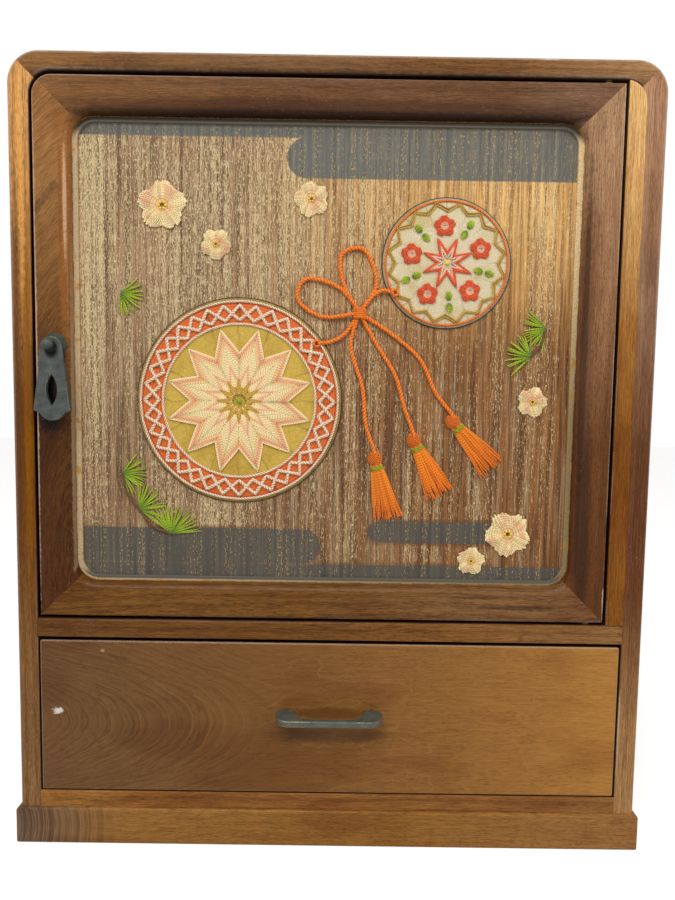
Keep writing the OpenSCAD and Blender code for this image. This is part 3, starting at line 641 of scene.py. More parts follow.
plinthLooks = {
    "plinth_front": {
        "grain": "wide", "heart": (-190, 10, -150), "ring": 4.5, "stretch": 0.9, "waver": 1.6,
        "ringReach": (-134, -96), "rings": 0.4, "lines": 0.4, "lineColour": (176, 142, 106),
        "run": [(-156, (112, 92, 76)), (-105, (143, 101, 48)), (30, (139, 96, 42)), (150, (148, 106, 58))],
        "seed": 11.0, "stain": 0.45, "wear": 0.55, "slant": 0.02},
    "plinth_left": {**plainPlinth, "heart": (0, 60, -190), "seed": 12.0},
    "plinth_right": {**plainPlinth, "heart": (20, 70, 190), "seed": 13.0},
    "plinth_back": {
        **plainPlinth, "grain": "wide", "heart": (-40, 50, 160), "seed": 14.0, "wear": 0.4,
        "run": [(-156, (124, 86, 50)), (156, (128, 88, 50))]},
}
# A dark stain that climbs the door's left stile at a slant, one dab for each step
slantStain = [((-144.0 + 2.1 * step, -114, 312.0 + 2.6 * step), (3.0, 4, 2.8), (66, 45, 31), 0.45, 0.8)
              for step in range(6)]
doorLooks = {
    "door_stile_left": {
        "grain": "up", "heart": (120, -128, -160), "ring": 6.5, "stretch": 0.02, "bend": 0.0022,
        "waver": 1.6, "rings": 0.2, "fibre": 6.0, "slant": 0.8,
        "run": [(140, (80, 45, 14)), (205, (80, 50, 20)), (270, (120, 83, 43)), (345, (162, 118, 70))],
        "seed": 15.0, "stain": 0.6, "wear": 0.8, "specks": 0.4, "pores": 0.55,
        "stains": [
            ((-128.5, -114, 300), (4.5, 20, 70), (160, 96, 38), 0.45), *slantStain,
            # The pale line down the door's outer arris is wear and a painted highlight
            ((-143.6, -114, 244), (1.2, 2.2, 165), (206, 170, 150), 0.8, 1.0),
            # Painted highlight on the lip, with its reddish-brown rim, and a painted lit band on the lip
            # lower down
            ((-129.0, -112, 317), (1.0, 5, 36), (208, 168, 130), 0.8, 0.5),
            ((-130.9, -112, 317), (1.2, 5, 40), (122, 66, 30), 0.5, 0.5),
            ((-126.9, -110, 210), (1.3, 4, 120), (176, 146, 110), 0.6, 0.6),
            # Painted shadow behind the pull's plate, nearly black
            ((-137.4, -114, 221.6), (8.0, 5, 20), (14, 9, 7), 0.97, 0.5)]},
    "door_stile_right": {
        "grain": "up", "heart": (250, 170, -150), "ring": 6.5, "stretch": 0.03, "rings": 0.3,
        "run": [(140, (97, 58, 24)), (205, (106, 67, 35)), (270, (148, 109, 78)), (345, (176, 140, 106))],
        "seed": 16.0, "stain": 0.5, "pores": 0.6, "crowd": 0.54, "slant": 0.8, "wear": 0.3,
        "stains": [
            ((121, -114, 240), (4.5, 20, 110), (104, 66, 46), 0.4),
            # These two dabs are painted shade along the inner lip
            ((120.6, -111, 250), (2.1, 8, 135), (44, 28, 18), 0.65, 0.3),
            ((123.2, -112, 160), (5.0, 8, 76), (40, 25, 16), 0.6, 0.4)],
        "chips": [((135.0, -113, 128), (0.9, 4, 9), (212, 196, 176), 0.95)]},
    "door_top_rail": {
        "grain": "wide", "heart": (0, 410, -150), "ring": 6.0, "stretch": 0.06, "rings": 0.3,
        "run": [(-125, (130, 92, 56)), (-50, (112, 77, 46)), (80, (108, 76, 52)), (128, (130, 100, 78))],
        "seed": 17.0, "stain": 0.45, "wear": 0.75,
        "stains": [
            # Both dabs are painted shade on the top lip, darkest at its inner edge
            ((0, -112, 361.5), (190, 20, 6.0), (66, 40, 28), 0.55, 0.4),
            ((0, -110, 359.0), (190, 20, 2.8), (30, 19, 13), 0.8, 0.4)]},
    "door_bottom_rail": {
        "grain": "wide", "heart": (60, 96, -150), "ring": 3.6, "stretch": 0.09, "rings": 0.4,
        "run": [(-125, (114, 76, 30)), (-10, (112, 75, 32)), (60, (121, 87, 51)), (125, (128, 92, 58))],
        "seed": 18.0, "fibre": 5.6, "stain": 0.5, "wear": 0.45,
        "stains": [
            ((92, -114, 124), (26, 20, 1.4), (52, 34, 24), 0.6),
            ((70, -114, 129), (20, 20, 1.0), (56, 36, 26), 0.5)]},
}
# How the arrises are rounded: the case's outer ones, the top rail's lip and those beside the door
outerRound = {"round": 1.7, "where": lambda spot: abs(spot.x) > 151 or spot.z > 382}
lipRound = {"round": 2.4, "all": True,
            "where": lambda spot: spot.z < 378 and spot.y < -113 and abs(spot.x) < 143}
besideRound = {"round": 1.2, "all": True, "where": lambda spot: spot.x > -146 and spot.y < -113}
boardRounds = {"top_rail": [outerRound, lipRound], "stile_left": [outerRound, besideRound]}
# The other arrises, in millimetres, and how few faces a hidden one needs
arrises = {"case": 0.45, "plinth": 1.3, "door": 0.9, "drawer": 0.9, "inside": 0.4, "panel": 0.3}
fewSteps = 2
for name, look in caseLooks.items():
    crevice = {} if name in ("side_left", "side_right", "top_board") else {"crevice": "case"}
    material = makeWood("wood_" + name, {**crevice, **look})
    dress(name, material, arrises["case"], wide=boardRounds.get(name, [outerRound]))
for name, look in plinthLooks.items():
    dress(name, makeWood("wood_" + name, look), arrises["plinth"])
for name, look in doorLooks.items():
    dress(name, makeWood("wood_" + name, {"crevice": "door", **look}), arrises["door"])

# Drawer front: flat figure that rings the board's left end

drawerLook = {
    "grain": "wide", "heart": (-146, 62.5, -101.5), "ring": 2.1, "stretch": 2.98, "power": 0.586,
    "waver": 1.9, "rings": 0.16, "ringReach": (-66, -16), "fibre": 2.0, "crowd": 0.6,
    "run": [(-135, (111, 80, 49)), (-20, (123, 85, 44)), (65, (145, 101, 51)), (140, (171, 123, 61))],
    "crevice": "drawer", "slant": 0.06,
    "stains": [
        # Painted shade between the handle's bar and the face, and a painted shadow under the handle
        ((0, -114, 68.6), (25, 5, 4.2), (92, 51, 2), 0.8, 0.6),
        ((1, -114, 57.4), (38, 5, 5.6), (70, 47, 32), 0.6, 0.5)],
    "seed": 19.0, "veins": 0.2, "veinColour": (190, 136, 74), "stain": 0.42, "lines": 0.4,
    "lineColour": (150, 102, 54), "wear": 0.75, "pores": 0.4, "specks": 0.15,
    "wornColour": (178, 156, 134),
    "chips": [
        ((-136, -114, 68.5), (3.6, 3, 1.9), (216, 211, 203), 0.95, 2.6),
        ((-113, -114, 99.5), (1.4, 3, 1.2), (190, 156, 128), 0.6)],
}
dress("drawer_front", makeWood("wood_drawer_front", drawerLook), arrises["drawer"])

# Bare wood inside

innerLook = {
    "grain": "wide", "heart": (0, -170, 60), "ring": 4.5, "stretch": 0.04, "rings": 0.4,
    "run": [(-200, (184, 152, 108)), (200, (178, 146, 102)), (400, (186, 154, 110))], "fibre": 0.9,
    "stain": 0.25, "pores": 0.3, "wear": 0.2, "rough": 0.5, "wornColour": (200, 172, 132), "specks": 0.1,
    "seed": 21.0,
}
innerWoods = {
    "wide": makeWood("innerWood", innerLook),
    "up": makeWood("innerWoodUp", {**innerLook, "grain": "up", "heart": (0, 230, 60), "seed": 23.0}),
    "deep": makeWood("innerWoodDeep", {**innerLook, "grain": "deep", "heart": (0, -80, 60), "seed": 25.0}),
    "flat": makeWood("innerWoodFlat", {
        **innerLook, "grain": "topWide", "heart": (0, 260, 30), "seed": 27.0}),
}
innerPieces = {
    "back_panel": "up", "divider_board": "flat", "bottom_board": "flat", "shelf": "flat",
    "shelf_cleat_left": "deep", "shelf_cleat_right": "deep", "door_stop_side": "up", "door_stop_top": "wide",
    "runner_left": "deep", "runner_right": "deep", "plinth_blocks": "up", "panel_beads": "wide",
    "drawer_side_left": "deep", "drawer_side_right": "deep", "drawer_back": "wide", "drawer_bottom": "flat",
}
for name, wood in innerPieces.items():
    dress(name, innerWoods[wood], arrises["inside"], fewSteps)

print("stage: boards dressed")

# Panel: brushed boards with pale fill left in the open grain, and painted bands of mist

mistBands = [  # middle x and z, half length, half height
    (-4, 355.0, 140, 4.2), (52, 341.5, 76, 9.6), (-4, 137.5, 140, 5.6), (-72, 152.0, 66, 8.8),
    (58, 160.0, 40, 5.4)]
panelLook = {
    "left": (138, 110, 83), "right": (201, 156, 92), "rightLow": (132, 90, 48), "low": (108, 72, 42),
    "fleck": (224, 204, 154), "pale": (184, 160, 126), "mist": (65, 64, 61), "mistPale": (94, 90, 80),
    "gold": (196, 166, 100), "behind": (138, 102, 68), "rust": (92, 54, 26),
    "mistLift": (1.42, 1.64, 1.77, 1),
}
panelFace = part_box("door_panel")[0].y / mm  # the panel's front, where the picture lies


def makePanelPaint(look):
    made, web, shader, sized = newMaterial("brushedPanel")
    across, depth, up = web.split(sized)

    def grain(crosswise, layer, lengthwise, detail, rough=0.5):
        return web.noise(web.join(across * crosswise, layer, up * lengthwise), detail, rough)

    slow = grain(0.045, 0.0, 0.004, 3)
    cord = grain(0.5, 3.0, 0.012, 4, 0.6)
    hair = grain(1.9, 7.0, 0.035, 3, 0.6)
    dash = grain(1.9, 11.0, 0.2, 2, 0.55)
    crumb = grain(2.1, 17.0, 0.75, 1)
    column = grain(0.33, 23.0, 0.006, 3, 0.6)
    face = web.fade(depth, panelFace + 0.7, panelFace + 0.2)
    side = web.fade(across, -60, 70)
    right = web.mix(web.fade(up, 320, 240), look["right"], look["rightLow"])
    colour = web.mix(side, look["left"], right)
    lowMiddle = web.fade(up, 300, 180) * web.fade(across, -112, -50)
    colour = web.mix(lowMiddle * 0.45, colour, look["low"])
    colour = web.mix(web.fade(cord, 0.36, 0.64), web.tint(colour, (0.5, 0.42, 0.35, 1)),
                     web.tint(colour, (1.34, 1.31, 1.26, 1)))
    colour = web.mix(web.fade(hair, 0.5, 0.66) * 0.75, colour, web.tint(colour, (0.48, 0.39, 0.33, 1)))
    colour = web.mix(web.fade(hair, 0.46, 0.32) * 0.7, colour, web.tint(colour, (1.5, 1.5, 1.45, 1)))
    # Pale fill sits in vertical dashes, thick towards the top and the left
    pale = web.fade(grain(0.24, 31.0, 0.01, 3, 0.6), 0.46, 0.66) * face * web.fade(hair, 0.62, 0.4)
    colour = web.mix(pale * 0.55, colour, look["pale"])
    plenty = web.fade(up, 330, 250) * side * 0.03 + (side * 0.035 + 0.53)
    plenty = (slow - 0.5) * -0.34 + plenty
    plenty = web.fade(up, 210, 330) * -0.03 + plenty
    plenty = (column - 0.5) * -0.4 + plenty
    fill = web.clamp((dash - plenty) * 8.0)
    crumbs = web.clamp((crumb - (plenty + 0.04)) * 9.0)
    fleck = web.highest(fill * 0.6, crumbs * 0.8) * face
    mist, rust = 0.0, 0.0
    for middle, level, halfLong, halfHigh in mistBands:
        beyond = web.highest(abs(across - middle) - (halfLong - halfHigh), 0.0)
        away = web.length(beyond, up - level)
        mist = web.highest(mist, web.fade(away, halfHigh + 0.35, halfHigh - 0.35))
        rust = web.highest(rust, web.fade(away, halfHigh + 2.4, halfHigh + 0.2))
    veil = web.mix(web.fade(cord, 0.2, 0.85), look["mist"], look["mistPale"])
    veil = web.mix(web.fade(hair, 0.45, 0.7) * 0.25, veil, (60, 58, 56))
    veil = web.mix(web.fade(up, 220, 300), veil, web.tint(veil, look["mistLift"]))
    mist = mist * face
    sheer = mist * (web.fade(dash, 0.5, 0.66) * -0.22 + 0.96)
    gold = web.fade(column, 0.47, 0.57) * web.fade(crumb, 0.56, 0.64)
    veil = web.mix(gold * 0.75, veil, look["gold"])
    colour = web.mix(fleck * (mist * -0.72 + 1.0), colour, look["fleck"])
    rust = rust * web.fade(up, 300, 220) * web.fade(slow, 0.36, 0.6)
    colour = web.mix(rust * (face * 0.7), colour, look["rust"])
    colour = web.mix(sheer, colour, veil)
    # Painted light: the strip just under the top lip is brightened half again, against the real shade the
    # lip casts on it
    eased = web.fade(up, 353.4, 356.6) * face  # the top lip keeps its light off this strip
    colour = web.mix(eased, colour, web.tint(colour, (1.5, 1.5, 1.5, 1)))
    colour = web.mix((1.0 - face) * 0.6, colour, look["behind"])
    height = fleck * 0.25 + (hair * -0.5 + cord)
    web.fill(shader, {"Base Color": colour, "Roughness": fleck * 0.25 + 0.5, "Specular IOR Level": 0.2,
                      "Normal": web.bump(height, 0.00025, 0.6)})
    return made


dress("door_panel", makePanelPaint(panelLook), arrises["panel"], fewSteps)

# Cove: worn gilt over a pale ground, with painted shade under the top lip and along the seam with the lip

coveLook = {
    "left": (198, 174, 136), "right": (240, 214, 162), "rightLow": (152, 130, 92), "gilt": (168, 122, 54),
    "darkening": (20, 15, 11), "mist": (92, 85, 74), "topMist": (98, 94, 85), "middle": (-4.25, 246.45),
    "half": (122.55, 112.35), "round": 11.0,
}


def makeCovePaint(look):
    made, web, shader, sized = newMaterial("wornGilt")
    across, depth, up = web.split(sized)
    rub = web.noise(sized, 4, 0.65, size=0.12)
    fine = web.noise(sized, 3, 0.6, size=1.4)
    corner = look["round"]
    outward = [web.highest(abs(measure - middle) - (half - corner), 0.0)
               for measure, middle, half in zip((across, up), look["middle"], look["half"])]
    inward = corner - web.length(*outward)  # millimetres in from the door's lip
    right = web.mix(web.fade(up, 320, 200), look["right"], look["rightLow"])
    pale = web.mix(web.fade(across, -80, 80), look["left"], right)
    colour = web.mix(web.fade(fine, 0.3, 0.7), web.tint(pale, (0.66, 0.6, 0.52, 1)), pale)
    colour = web.mix(web.fade(rub, 0.54, 0.62) * 0.8, colour, look["gilt"])
    # At the foot only the outer half is pale, and towards the top the cove takes painted shadow from the
    # lip, with flecks of gilt left in it
    foot = web.fade(up, 141, 137) * web.fade(inward, 0.9, 1.3)
    colour = web.mix(foot, colour, look["mist"])
    flecks = web.fade(inward, 0.6, 0.3) * web.fade(fine, 0.44, 0.54)
    top = web.fade(up, 348, 355)
    dark = web.mix(flecks * 0.8, look["darkening"], look["gilt"])
    dark = web.mix(web.fade(inward, 1.2, 2.7), dark, look["topMist"])
    colour = web.mix(top * 0.95, colour, dark)
    # Painted shade along the seam with the lip, broken by rubbing
    seam = web.fade(inward, 0.5, 0.2) * web.fade(rub, 0.56, 0.44)
    colour = web.mix(seam * 0.6, colour, look["darkening"])
    web.fill(shader, {"Base Color": colour, "Roughness": fine * 0.3 + 0.4, "Specular IOR Level": 0.25,
                      "Normal": web.bump(fine, 0.0001, 0.5)})
    return made


dress("panel_cove", makeCovePaint(coveLook), arrises["panel"], fewSteps)

# Metal: dull grey-green patina that is rubbed to brass at its edges, bare brass, steel and iron

# Light and dark tone, bare metal at the edges, wear, roughness and share of metal
metalRows = {
    "patina": ((86, 92, 88), (54, 60, 58), (150, 130, 84), 0.25, 0.46, 0.35),
    "patinaDark": ((68, 68, 57), (42, 43, 35), (150, 130, 84), 0.25, 0.5, 0.35),
    "patinaPale": ((99, 102, 93), (74, 79, 72), (152, 144, 112), 0.05, 0.44, 0.35),
    "nailIron": ((118, 104, 92), (84, 62, 48), (150, 140, 130), 0.3, 0.55, 0.6),
    "brass": ((124, 98, 52), (74, 56, 30), (160, 132, 78), 0.3, 0.45, 0.8),
    "steel": ((150, 150, 148), (108, 108, 108), (186, 186, 184), 0.4, 0.34, 1.0),
    "iron": ((74, 74, 76), (50, 50, 52), (110, 106, 100), 0.3, 0.5, 0.6),
}
metalParts = ("light", "dark", "bare", "wear", "rough", "metal")
metalLooks = {name: dict(zip(metalParts, row)) for name, row in metalRows.items()}


def makeMetal(name, look):
    made, web, shader, sized = newMaterial(name)
    cloud = web.noise(sized, 4, 0.6, size=0.22)
    fine = web.noise(sized, 3, 0.6, size=1.7)
    mixed = fine * 0.5 + cloud * 0.5
    colour = web.mix(web.fade(mixed, 0.36, 0.64), look["dark"], look["light"])
    worn = wornEdges(web, sized, look["wear"])
    specks = web.fade(fine, 0.66, 0.72) * web.fade(cloud, 0.52, 0.62)
    worn = web.highest(worn, specks * 0.8)
    colour = addDabs(web, web.mix(worn, colour, look["bare"]), sized, look.get("stains", []))
    web.fill(shader, {"Base Color": colour, "Metallic": web.clamp(worn * 0.5 + look["metal"]),
                      "Roughness": mixed * 0.24 + look["rough"], "Specular IOR Level": 0.3,
                      "Normal": web.bump(mixed, 0.0001, 0.5)})
    return made


# Painted shadow: the dark hollow round the stud is painted black on the plate and isn't cut
metalLooks["patinaPlate"] = {**metalLooks["patina"], "stains": [
    ((-134.5, -120, 246.7), (4.0, 9, 4.3), (7, 7, 7), 1.0, 0.1)]}
metals = {name: makeMetal(name, look) for name, look in metalLooks.items()}
metalPieces = {
    "pull_plate": ("patinaPlate", 0.45), "pull_rosette": ("patinaDark", 0.4), "pull_post": ("patina", 0.2),
    "drawer_handle": ("patinaPale", 0.6), "pull_washer": ("brass", 0.2), "handle_nuts": ("steel", 0.3),
    "pivot_pin_top": ("brass", 0.2), "pivot_pin_bottom": ("brass", 0.2),
    "pivot_socket_top": ("brass", 0.2), "pivot_socket_bottom": ("brass", 0.2),
    "strike_plate": ("steel", 0.2), "catch_magnet": ("iron", 0.3),
}
handleShape = {"half": 17.4, "deep": 9.4, "curve": 5.0, "newCurve": 8.6, "end": 26.2, "endRound": 2.4,
               "near": 0.1, "slack": 0.02}


def shapeHandle(work):
    # The bow's inner curves start at its feet, and the feet are rounded where they meet the drawer
    shape = handleShape
    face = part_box("door_stile_left")[0].y / mm
    change = shape["newCurve"] - shape["curve"]
    for vert in work.verts:
        across, forward = abs(vert.co.x / mm), face - vert.co.y / mm
        besideX = across - (shape["half"] - shape["curve"])
        besideY = forward - (shape["deep"] - shape["curve"])
        reach = math.hypot(besideX, besideY)
        inside = min(besideX, besideY) > -shape["slack"]
        if inside and abs(reach - shape["curve"]) < shape["near"]:
            across += change * (besideX / reach - 1)
            forward += change * (besideY / reach - 1)
            vert.co.x = math.copysign(across * mm, vert.co.x)
            vert.co.y = (face - forward) * mm

    def isFoot(vert):
        beside = abs(vert.co.x) / mm > shape["end"] - shape["near"]
        return beside and abs(vert.co.y / mm - face) < shape["near"]

    ends = [edge for edge in work.edges if all(isFoot(vert) for vert in edge.verts)]
    bmesh.ops.bevel(work, geom=ends, offset=shape["endRound"] * mm, offset_type="OFFSET", segments=6,
                    profile=0.5, affect="EDGES", clamp_overlap=True)
    work.normal_update()


hiddenStuds = {"round": 0, "where": lambda spot: spot.y > -113.3}
for name, (finish, eased) in metalPieces.items():
    extra = {"wide": [hiddenStuds], "reshape": shapeHandle} if name == "drawer_handle" else {}
    dress(name, metals[finish], eased, **extra)

print("stage: panel and metal dressed")

# Geometry Nodes: every tree works in millimetres on a flat bed, its third axis standing off the panel

cushionPower = 0.6  # how round the cushions under the threads are


def makeTree(name, inputs):
    inputs = {**inputs, "Finish": "material"}
    return makeGroup(name, inputs, ["Result"], "GeometryNodeTree", "geometry")


def mark(web, geometry, name, value, kind="FLOAT"):
    values = {"Geometry": geometry, "Name": name, "Value": value}
    return web.add("GeometryNodeStoreNamedAttribute", values, data_type=kind, domain="POINT")


def chance(web, low, high, number=None, seed=0):
    return web.take("FunctionNodeRandomValue", 1, {2: low, 3: high, 7: number, 8: seed}, data_type="FLOAT")


def placeHere(web):
    return web.take("GeometryNodeInputPosition")


def alongLine(web, label):
    return web.take("GeometryNodeSplineParameter", label)


def ringLine(web, sides, radius):
    values = {"Resolution": sides, "Radius": radius}
    return web.add("GeometryNodeCurvePrimitiveCircle", values, mode="RADIUS")


def straightLine(web, points):
    line = web.add("GeometryNodeCurvePrimitiveLine", {"Start": zero, "End": (1, 0, 0)}, mode="POINTS")
    return web.add("GeometryNodeResampleCurve", {"Curve": line, "Count": points}, mode="COUNT")


def copyLine(web, line, amount):
    # Copies of one line, and each copy's number
    copies = web.add("GeometryNodeDuplicateElements", {"Geometry": line, "Amount": amount}, domain="SPLINE")
    return copies, web.wire(copies, "Duplicate Index")


def layDown(web, lines, place, layer, number, seed):
    # Moves the lines to their places and marks each one's colour share and its own tone
    laid = web.add("GeometryNodeSetPosition", {"Geometry": lines, "Position": place})
    return mark(web, mark(web, laid, "layer", layer), "tone", chance(web, 0.0, 1.0, number, seed))


def domeHeight(web, given, across, up):
    # A low cushion: rim at its edge, rim plus lift in its middle, and nothing outside it
    share = (across * across + up * up) / (given["Ball"] * given["Ball"])
    return web.highest(1.0 - share, 0.0) ** cushionPower * given["Lift"] + given["Rim"]


def finishTree(web, given, end, geometry):
    smooth = web.add("GeometryNodeSetShadeSmooth", {"Geometry": geometry})
    whole = web.add("GeometryNodeRealizeInstances", {"Geometry": smooth})
    done = web.add("GeometryNodeSetMaterial", {"Geometry": whole, "Material": given["Finish"]})
    web.fill(end, {"Result": done})


def tube(web, given, end, curve, sides, taper=1.0):
    # A thread's section, with the way round it and along it kept for the twist
    turned = web.vector("NORMALIZE", placeHere(web))
    ring = mark(web, ringLine(web, sides, given["Thread"]), "round", turned, "FLOAT_VECTOR")
    marked = mark(web, curve, "along", alongLine(web, "Length"))
    values = {"Curve": marked, "Profile Curve": ring, "Scale": taper, "Fill Caps": True}
    finishTree(web, given, end, web.add("GeometryNodeCurveToMesh", values))


def makeStarTree():
    # Zigzag rounds between an inner and an outer ring, as a wound ball's chrysanthemum is stitched
    uneven, waves, swell, cuts, sides = 0.3, 0.3, 0.5, 5, 6
    tree, web, given, end = makeTree("wovenStar", {
        "Corners": 32, "Inner": 5.0, "Outer": 20.0, "Rounds": 10, "Inner Step": 0.6, "Outer Step": 1.0,
        "Turn": 0.0, "Ball": 50.0, "Rim": 0.7, "Lift": 1.5, "Thread": 0.5, "Seed": 1})
    copies, number = copyLine(web, ringLine(web, given["Corners"], 1.0), given["Rounds"])
    corner = alongLine(web, "Index")
    inner = number * given["Inner Step"] + given["Inner"]
    outer = number * given["Outer Step"] + given["Outer"]
    slip = chance(web, -uneven, uneven, None, given["Seed"])
    reach = corner % 2.0 * (outer - inner) + inner + slip
    angle = corner * math.tau / given["Corners"] + given["Turn"]
    spot = web.join(reach * web.math("COSINE", angle), reach * web.math("SINE", angle), 0.0)
    tagged = layDown(web, copies, spot, number / given["Rounds"], number, given["Seed"])
    cut = web.add("GeometryNodeSubdivideCurve", {"Curve": tagged, "Cuts": cuts})
    across, up, height = web.split(placeHere(web))
    level = domeHeight(web, given, across, up) + given["Thread"] * 0.5
    level = web.noise(placeHere(web), size=waves) * swell + level
    raised = web.add("GeometryNodeSetPosition", {"Geometry": cut, "Position": web.join(across, up, level)})
    tube(web, given, end, raised, sides)
    return tree


def makePetalTree():
    # Satin stitches fanned into petals, each from the heart of a blossom to its petal's outline
    points, sides, uneven, shorter = 9, 5, 0.05, 0.34  # outer stitches are shorter than the middle one
    tree, web, given, end = makeTree("satinPetals", {
        "Petals": 5, "Stitches": 13, "Start": 1.5, "Length": 10.0, "Width": 4.5, "Notch": 0.12,
        "Turn": 0.0, "Crown": 0.9, "Ball": 400.0, "Rim": 0.0, "Lift": 0.0, "Off Across": 0.0,
        "Off Up": 0.0, "Thread": 0.45, "Seed": 1})
    copies, number = copyLine(web, straightLine(web, points), given["Petals"] * given["Stitches"])
    petal = web.math("FLOOR", (number + 0.5) / given["Stitches"])
    stitch = number - petal * given["Stitches"]
    side = stitch / (given["Stitches"] - 1.0) * 2.0 - 1.0
    share = alongLine(web, "Factor")
    sideSquare = side * side
    notch = (1.0 - sideSquare) ** 8.0 * given["Notch"]
    jitter = chance(web, -uneven, uneven, number, given["Seed"])
    reach = (sideSquare * -shorter + 1.0 - notch + jitter) * given["Length"]
    along = share * reach + given["Start"]
    swell = web.math("SINE", share ** 0.8 * 2.05 + 0.16)
    sway = side * given["Width"] * swell
    angle = petal / given["Petals"] * math.tau + given["Turn"]
    cosine, sine = web.math("COSINE", angle), web.math("SINE", angle)
    across = along * cosine - sway * sine + given["Off Across"]
    up = along * sine + sway * cosine + given["Off Up"]
    puff = web.math("SINE", share * 2.9) * (1.0 - sideSquare * 0.8)
    level = domeHeight(web, given, across, up) + puff * given["Crown"] + given["Thread"] * 0.7
    tagged = layDown(web, copies, web.join(across, up, level), share, number, given["Seed"])
    tube(web, given, end, tagged, sides)
    return tree


def makeStrandTree():
    # A spray of strands from a knot: a tassel's skirt or a tuft of pine needles
    points, sides, slimming = 12, 5, 2.5
    tree, web, given, end = makeTree("strandSpray", {
        "Strands": 24, "Top": 2.0, "Spread": 0.5, "Length": 26.0, "Body": 0.8, "Wave": 0.5, "Taper": 0.8,
        "Uneven": 0.06, "Thread": 0.45, "Seed": 1})
    copies, number = copyLine(web, straightLine(web, points), given["Strands"])
    side = number / (given["Strands"] - 1.0) * 2.0 - 1.0
    share = alongLine(web, "Factor")
    jitter = chance(web, -1.0, 1.0, number, given["Seed"])
    angle = jitter * (given["Spread"] / given["Strands"]) + side * (given["Spread"] * 0.5)
    uneven = chance(web, -1.0, 0.6, number, given["Seed"] + 3.0) * given["Uneven"] + 1.0
    along = share * (uneven * given["Length"])
    wave = web.math("SINE", share * 5.0 + jitter * 3.0) * share * given["Wave"]
    across = along * web.math("SINE", angle) + side * given["Top"] + wave
    up = along * web.math("COSINE", angle) * -1.0
    bulge = web.math("SQRT", 1.02 - side * side)
    stack = chance(web, 0.0, 1.0, number, given["Seed"] + 7.0) * 0.7 + 0.3
    level = bulge * stack * given["Body"] + given["Thread"]
    tagged = layDown(web, copies, web.join(across, up, level), share, number, given["Seed"])
    tube(web, given, end, tagged, sides, 1.0 - share ** slimming * given["Taper"])
    return tree


def makeCordTree():
    # A two-ply cord laid along a drawn line: its section has two lobes and turns as it goes
    tree, web, given, end = makeTree("twistedCord", {
        "Line": "geometry", "Thick": 1.0, "Pitch": 3.6, "Groove": 0.2, "Step": 0.45, "Seed": 1})
    curve = web.add("GeometryNodeMeshToCurve", {"Mesh": given["Line"]})
    even = web.add("GeometryNodeResampleCurve", {"Curve": curve, "Length": given["Step"]}, mode="LENGTH")
    length = alongLine(web, "Length")
    upright = web.add("GeometryNodeSetCurveNormal", {"Curve": even}, mode="Z_UP")
    turn = length * math.tau / given["Pitch"]
    tilted = web.add("GeometryNodeSetCurveTilt", {"Curve": upright, "Tilt": turn})
    tagged = mark(web, tilted, "along", length)
    tagged = mark(web, tagged, "layer", web.noise(web.join(length * 0.2, 0.0, 0.0)))
    tagged = mark(web, tagged, "tone", 0.5)
    where = placeHere(web)
    ring = mark(web, ringLine(web, 10, 1.0), "round", where, "FLOAT_VECTOR")
    flatX, flatY, flatZ = web.split(where)
    lobe = abs(web.math("COSINE", web.math("ARCTAN2", flatY, flatX)))
    size = (lobe * given["Groove"] + (1.0 - given["Groove"])) * given["Thick"]
    scaled = web.take("ShaderNodeVectorMath", 0, {0: where, "Scale": size}, operation="SCALE")
    shaped = web.add("GeometryNodeSetPosition", {"Geometry": ring, "Position": scaled})
    values = {"Curve": tagged, "Profile Curve": shaped, "Fill Caps": True}
    finishTree(web, given, end, web.add("GeometryNodeCurveToMesh", values))
    return tree


def makeKnotTree():
    # One small domed knot or nail head on each drawn point
    tree, web, given, end = makeTree("knotsOnPoints", {
        "Line": "geometry", "Size": 0.8, "Flat": 0.6, "Seed": 1})
    ball = web.add("GeometryNodeMeshUVSphere", {"Segments": 12, "Rings": 7, "Radius": given["Size"]})
    values = {"Points": given["Line"], "Instance": ball, "Scale": web.join(1.0, 1.0, given["Flat"])}
    finishTree(web, given, end, web.add("GeometryNodeInstanceOnPoints", values))
    return tree


starTree = makeStarTree()
petalTree = makePetalTree()
strandTree = makeStrandTree()
cordTree = makeCordTree()
knotTree = makeKnotTree()


def onPanel(across, up, turn=0.0):
    # From a flat bed in millimetres to a place on the panel, its third axis towards the viewer
    upright = Matrix.Rotation(math.radians(90), 4, "X")
    place = Matrix.Translation((across * mm, panelFace * mm, up * mm)) @ upright
    return place @ Matrix.Rotation(math.radians(turn), 4, "Z") @ Matrix.Scale(mm, 4)


def grow(tree, values, finish, place, points=(), closed=False, joined=True):
    # Runs a tree on a drawn line, or on nothing, and keeps the plain mesh that it makes
    mesh = bpy.data.meshes.new("line")
    edges = [(index, index + 1) for index in range(len(points) - 1)] if joined else []
    if closed:
        edges.append((len(points) - 1, 0))
    mesh.from_pydata(points, edges, [])
    made = addObject("line", mesh)
    modifier = made.modifiers.new("grow", "NODES")
    modifier.node_group = tree
    names = {item.name: item.identifier for item in tree.interface.items_tree if item.in_out == "INPUT"}
    for key, value in {**values, "Finish": finish}.items():
        modifier[names[key]] = value
    graph = bpy.context.evaluated_depsgraph_get()
    result = bpy.data.meshes.new_from_object(made.evaluated_get(graph))
    made.modifiers.remove(modifier)
    bpy.data.objects.remove(made)
    result.transform(place)
    return result


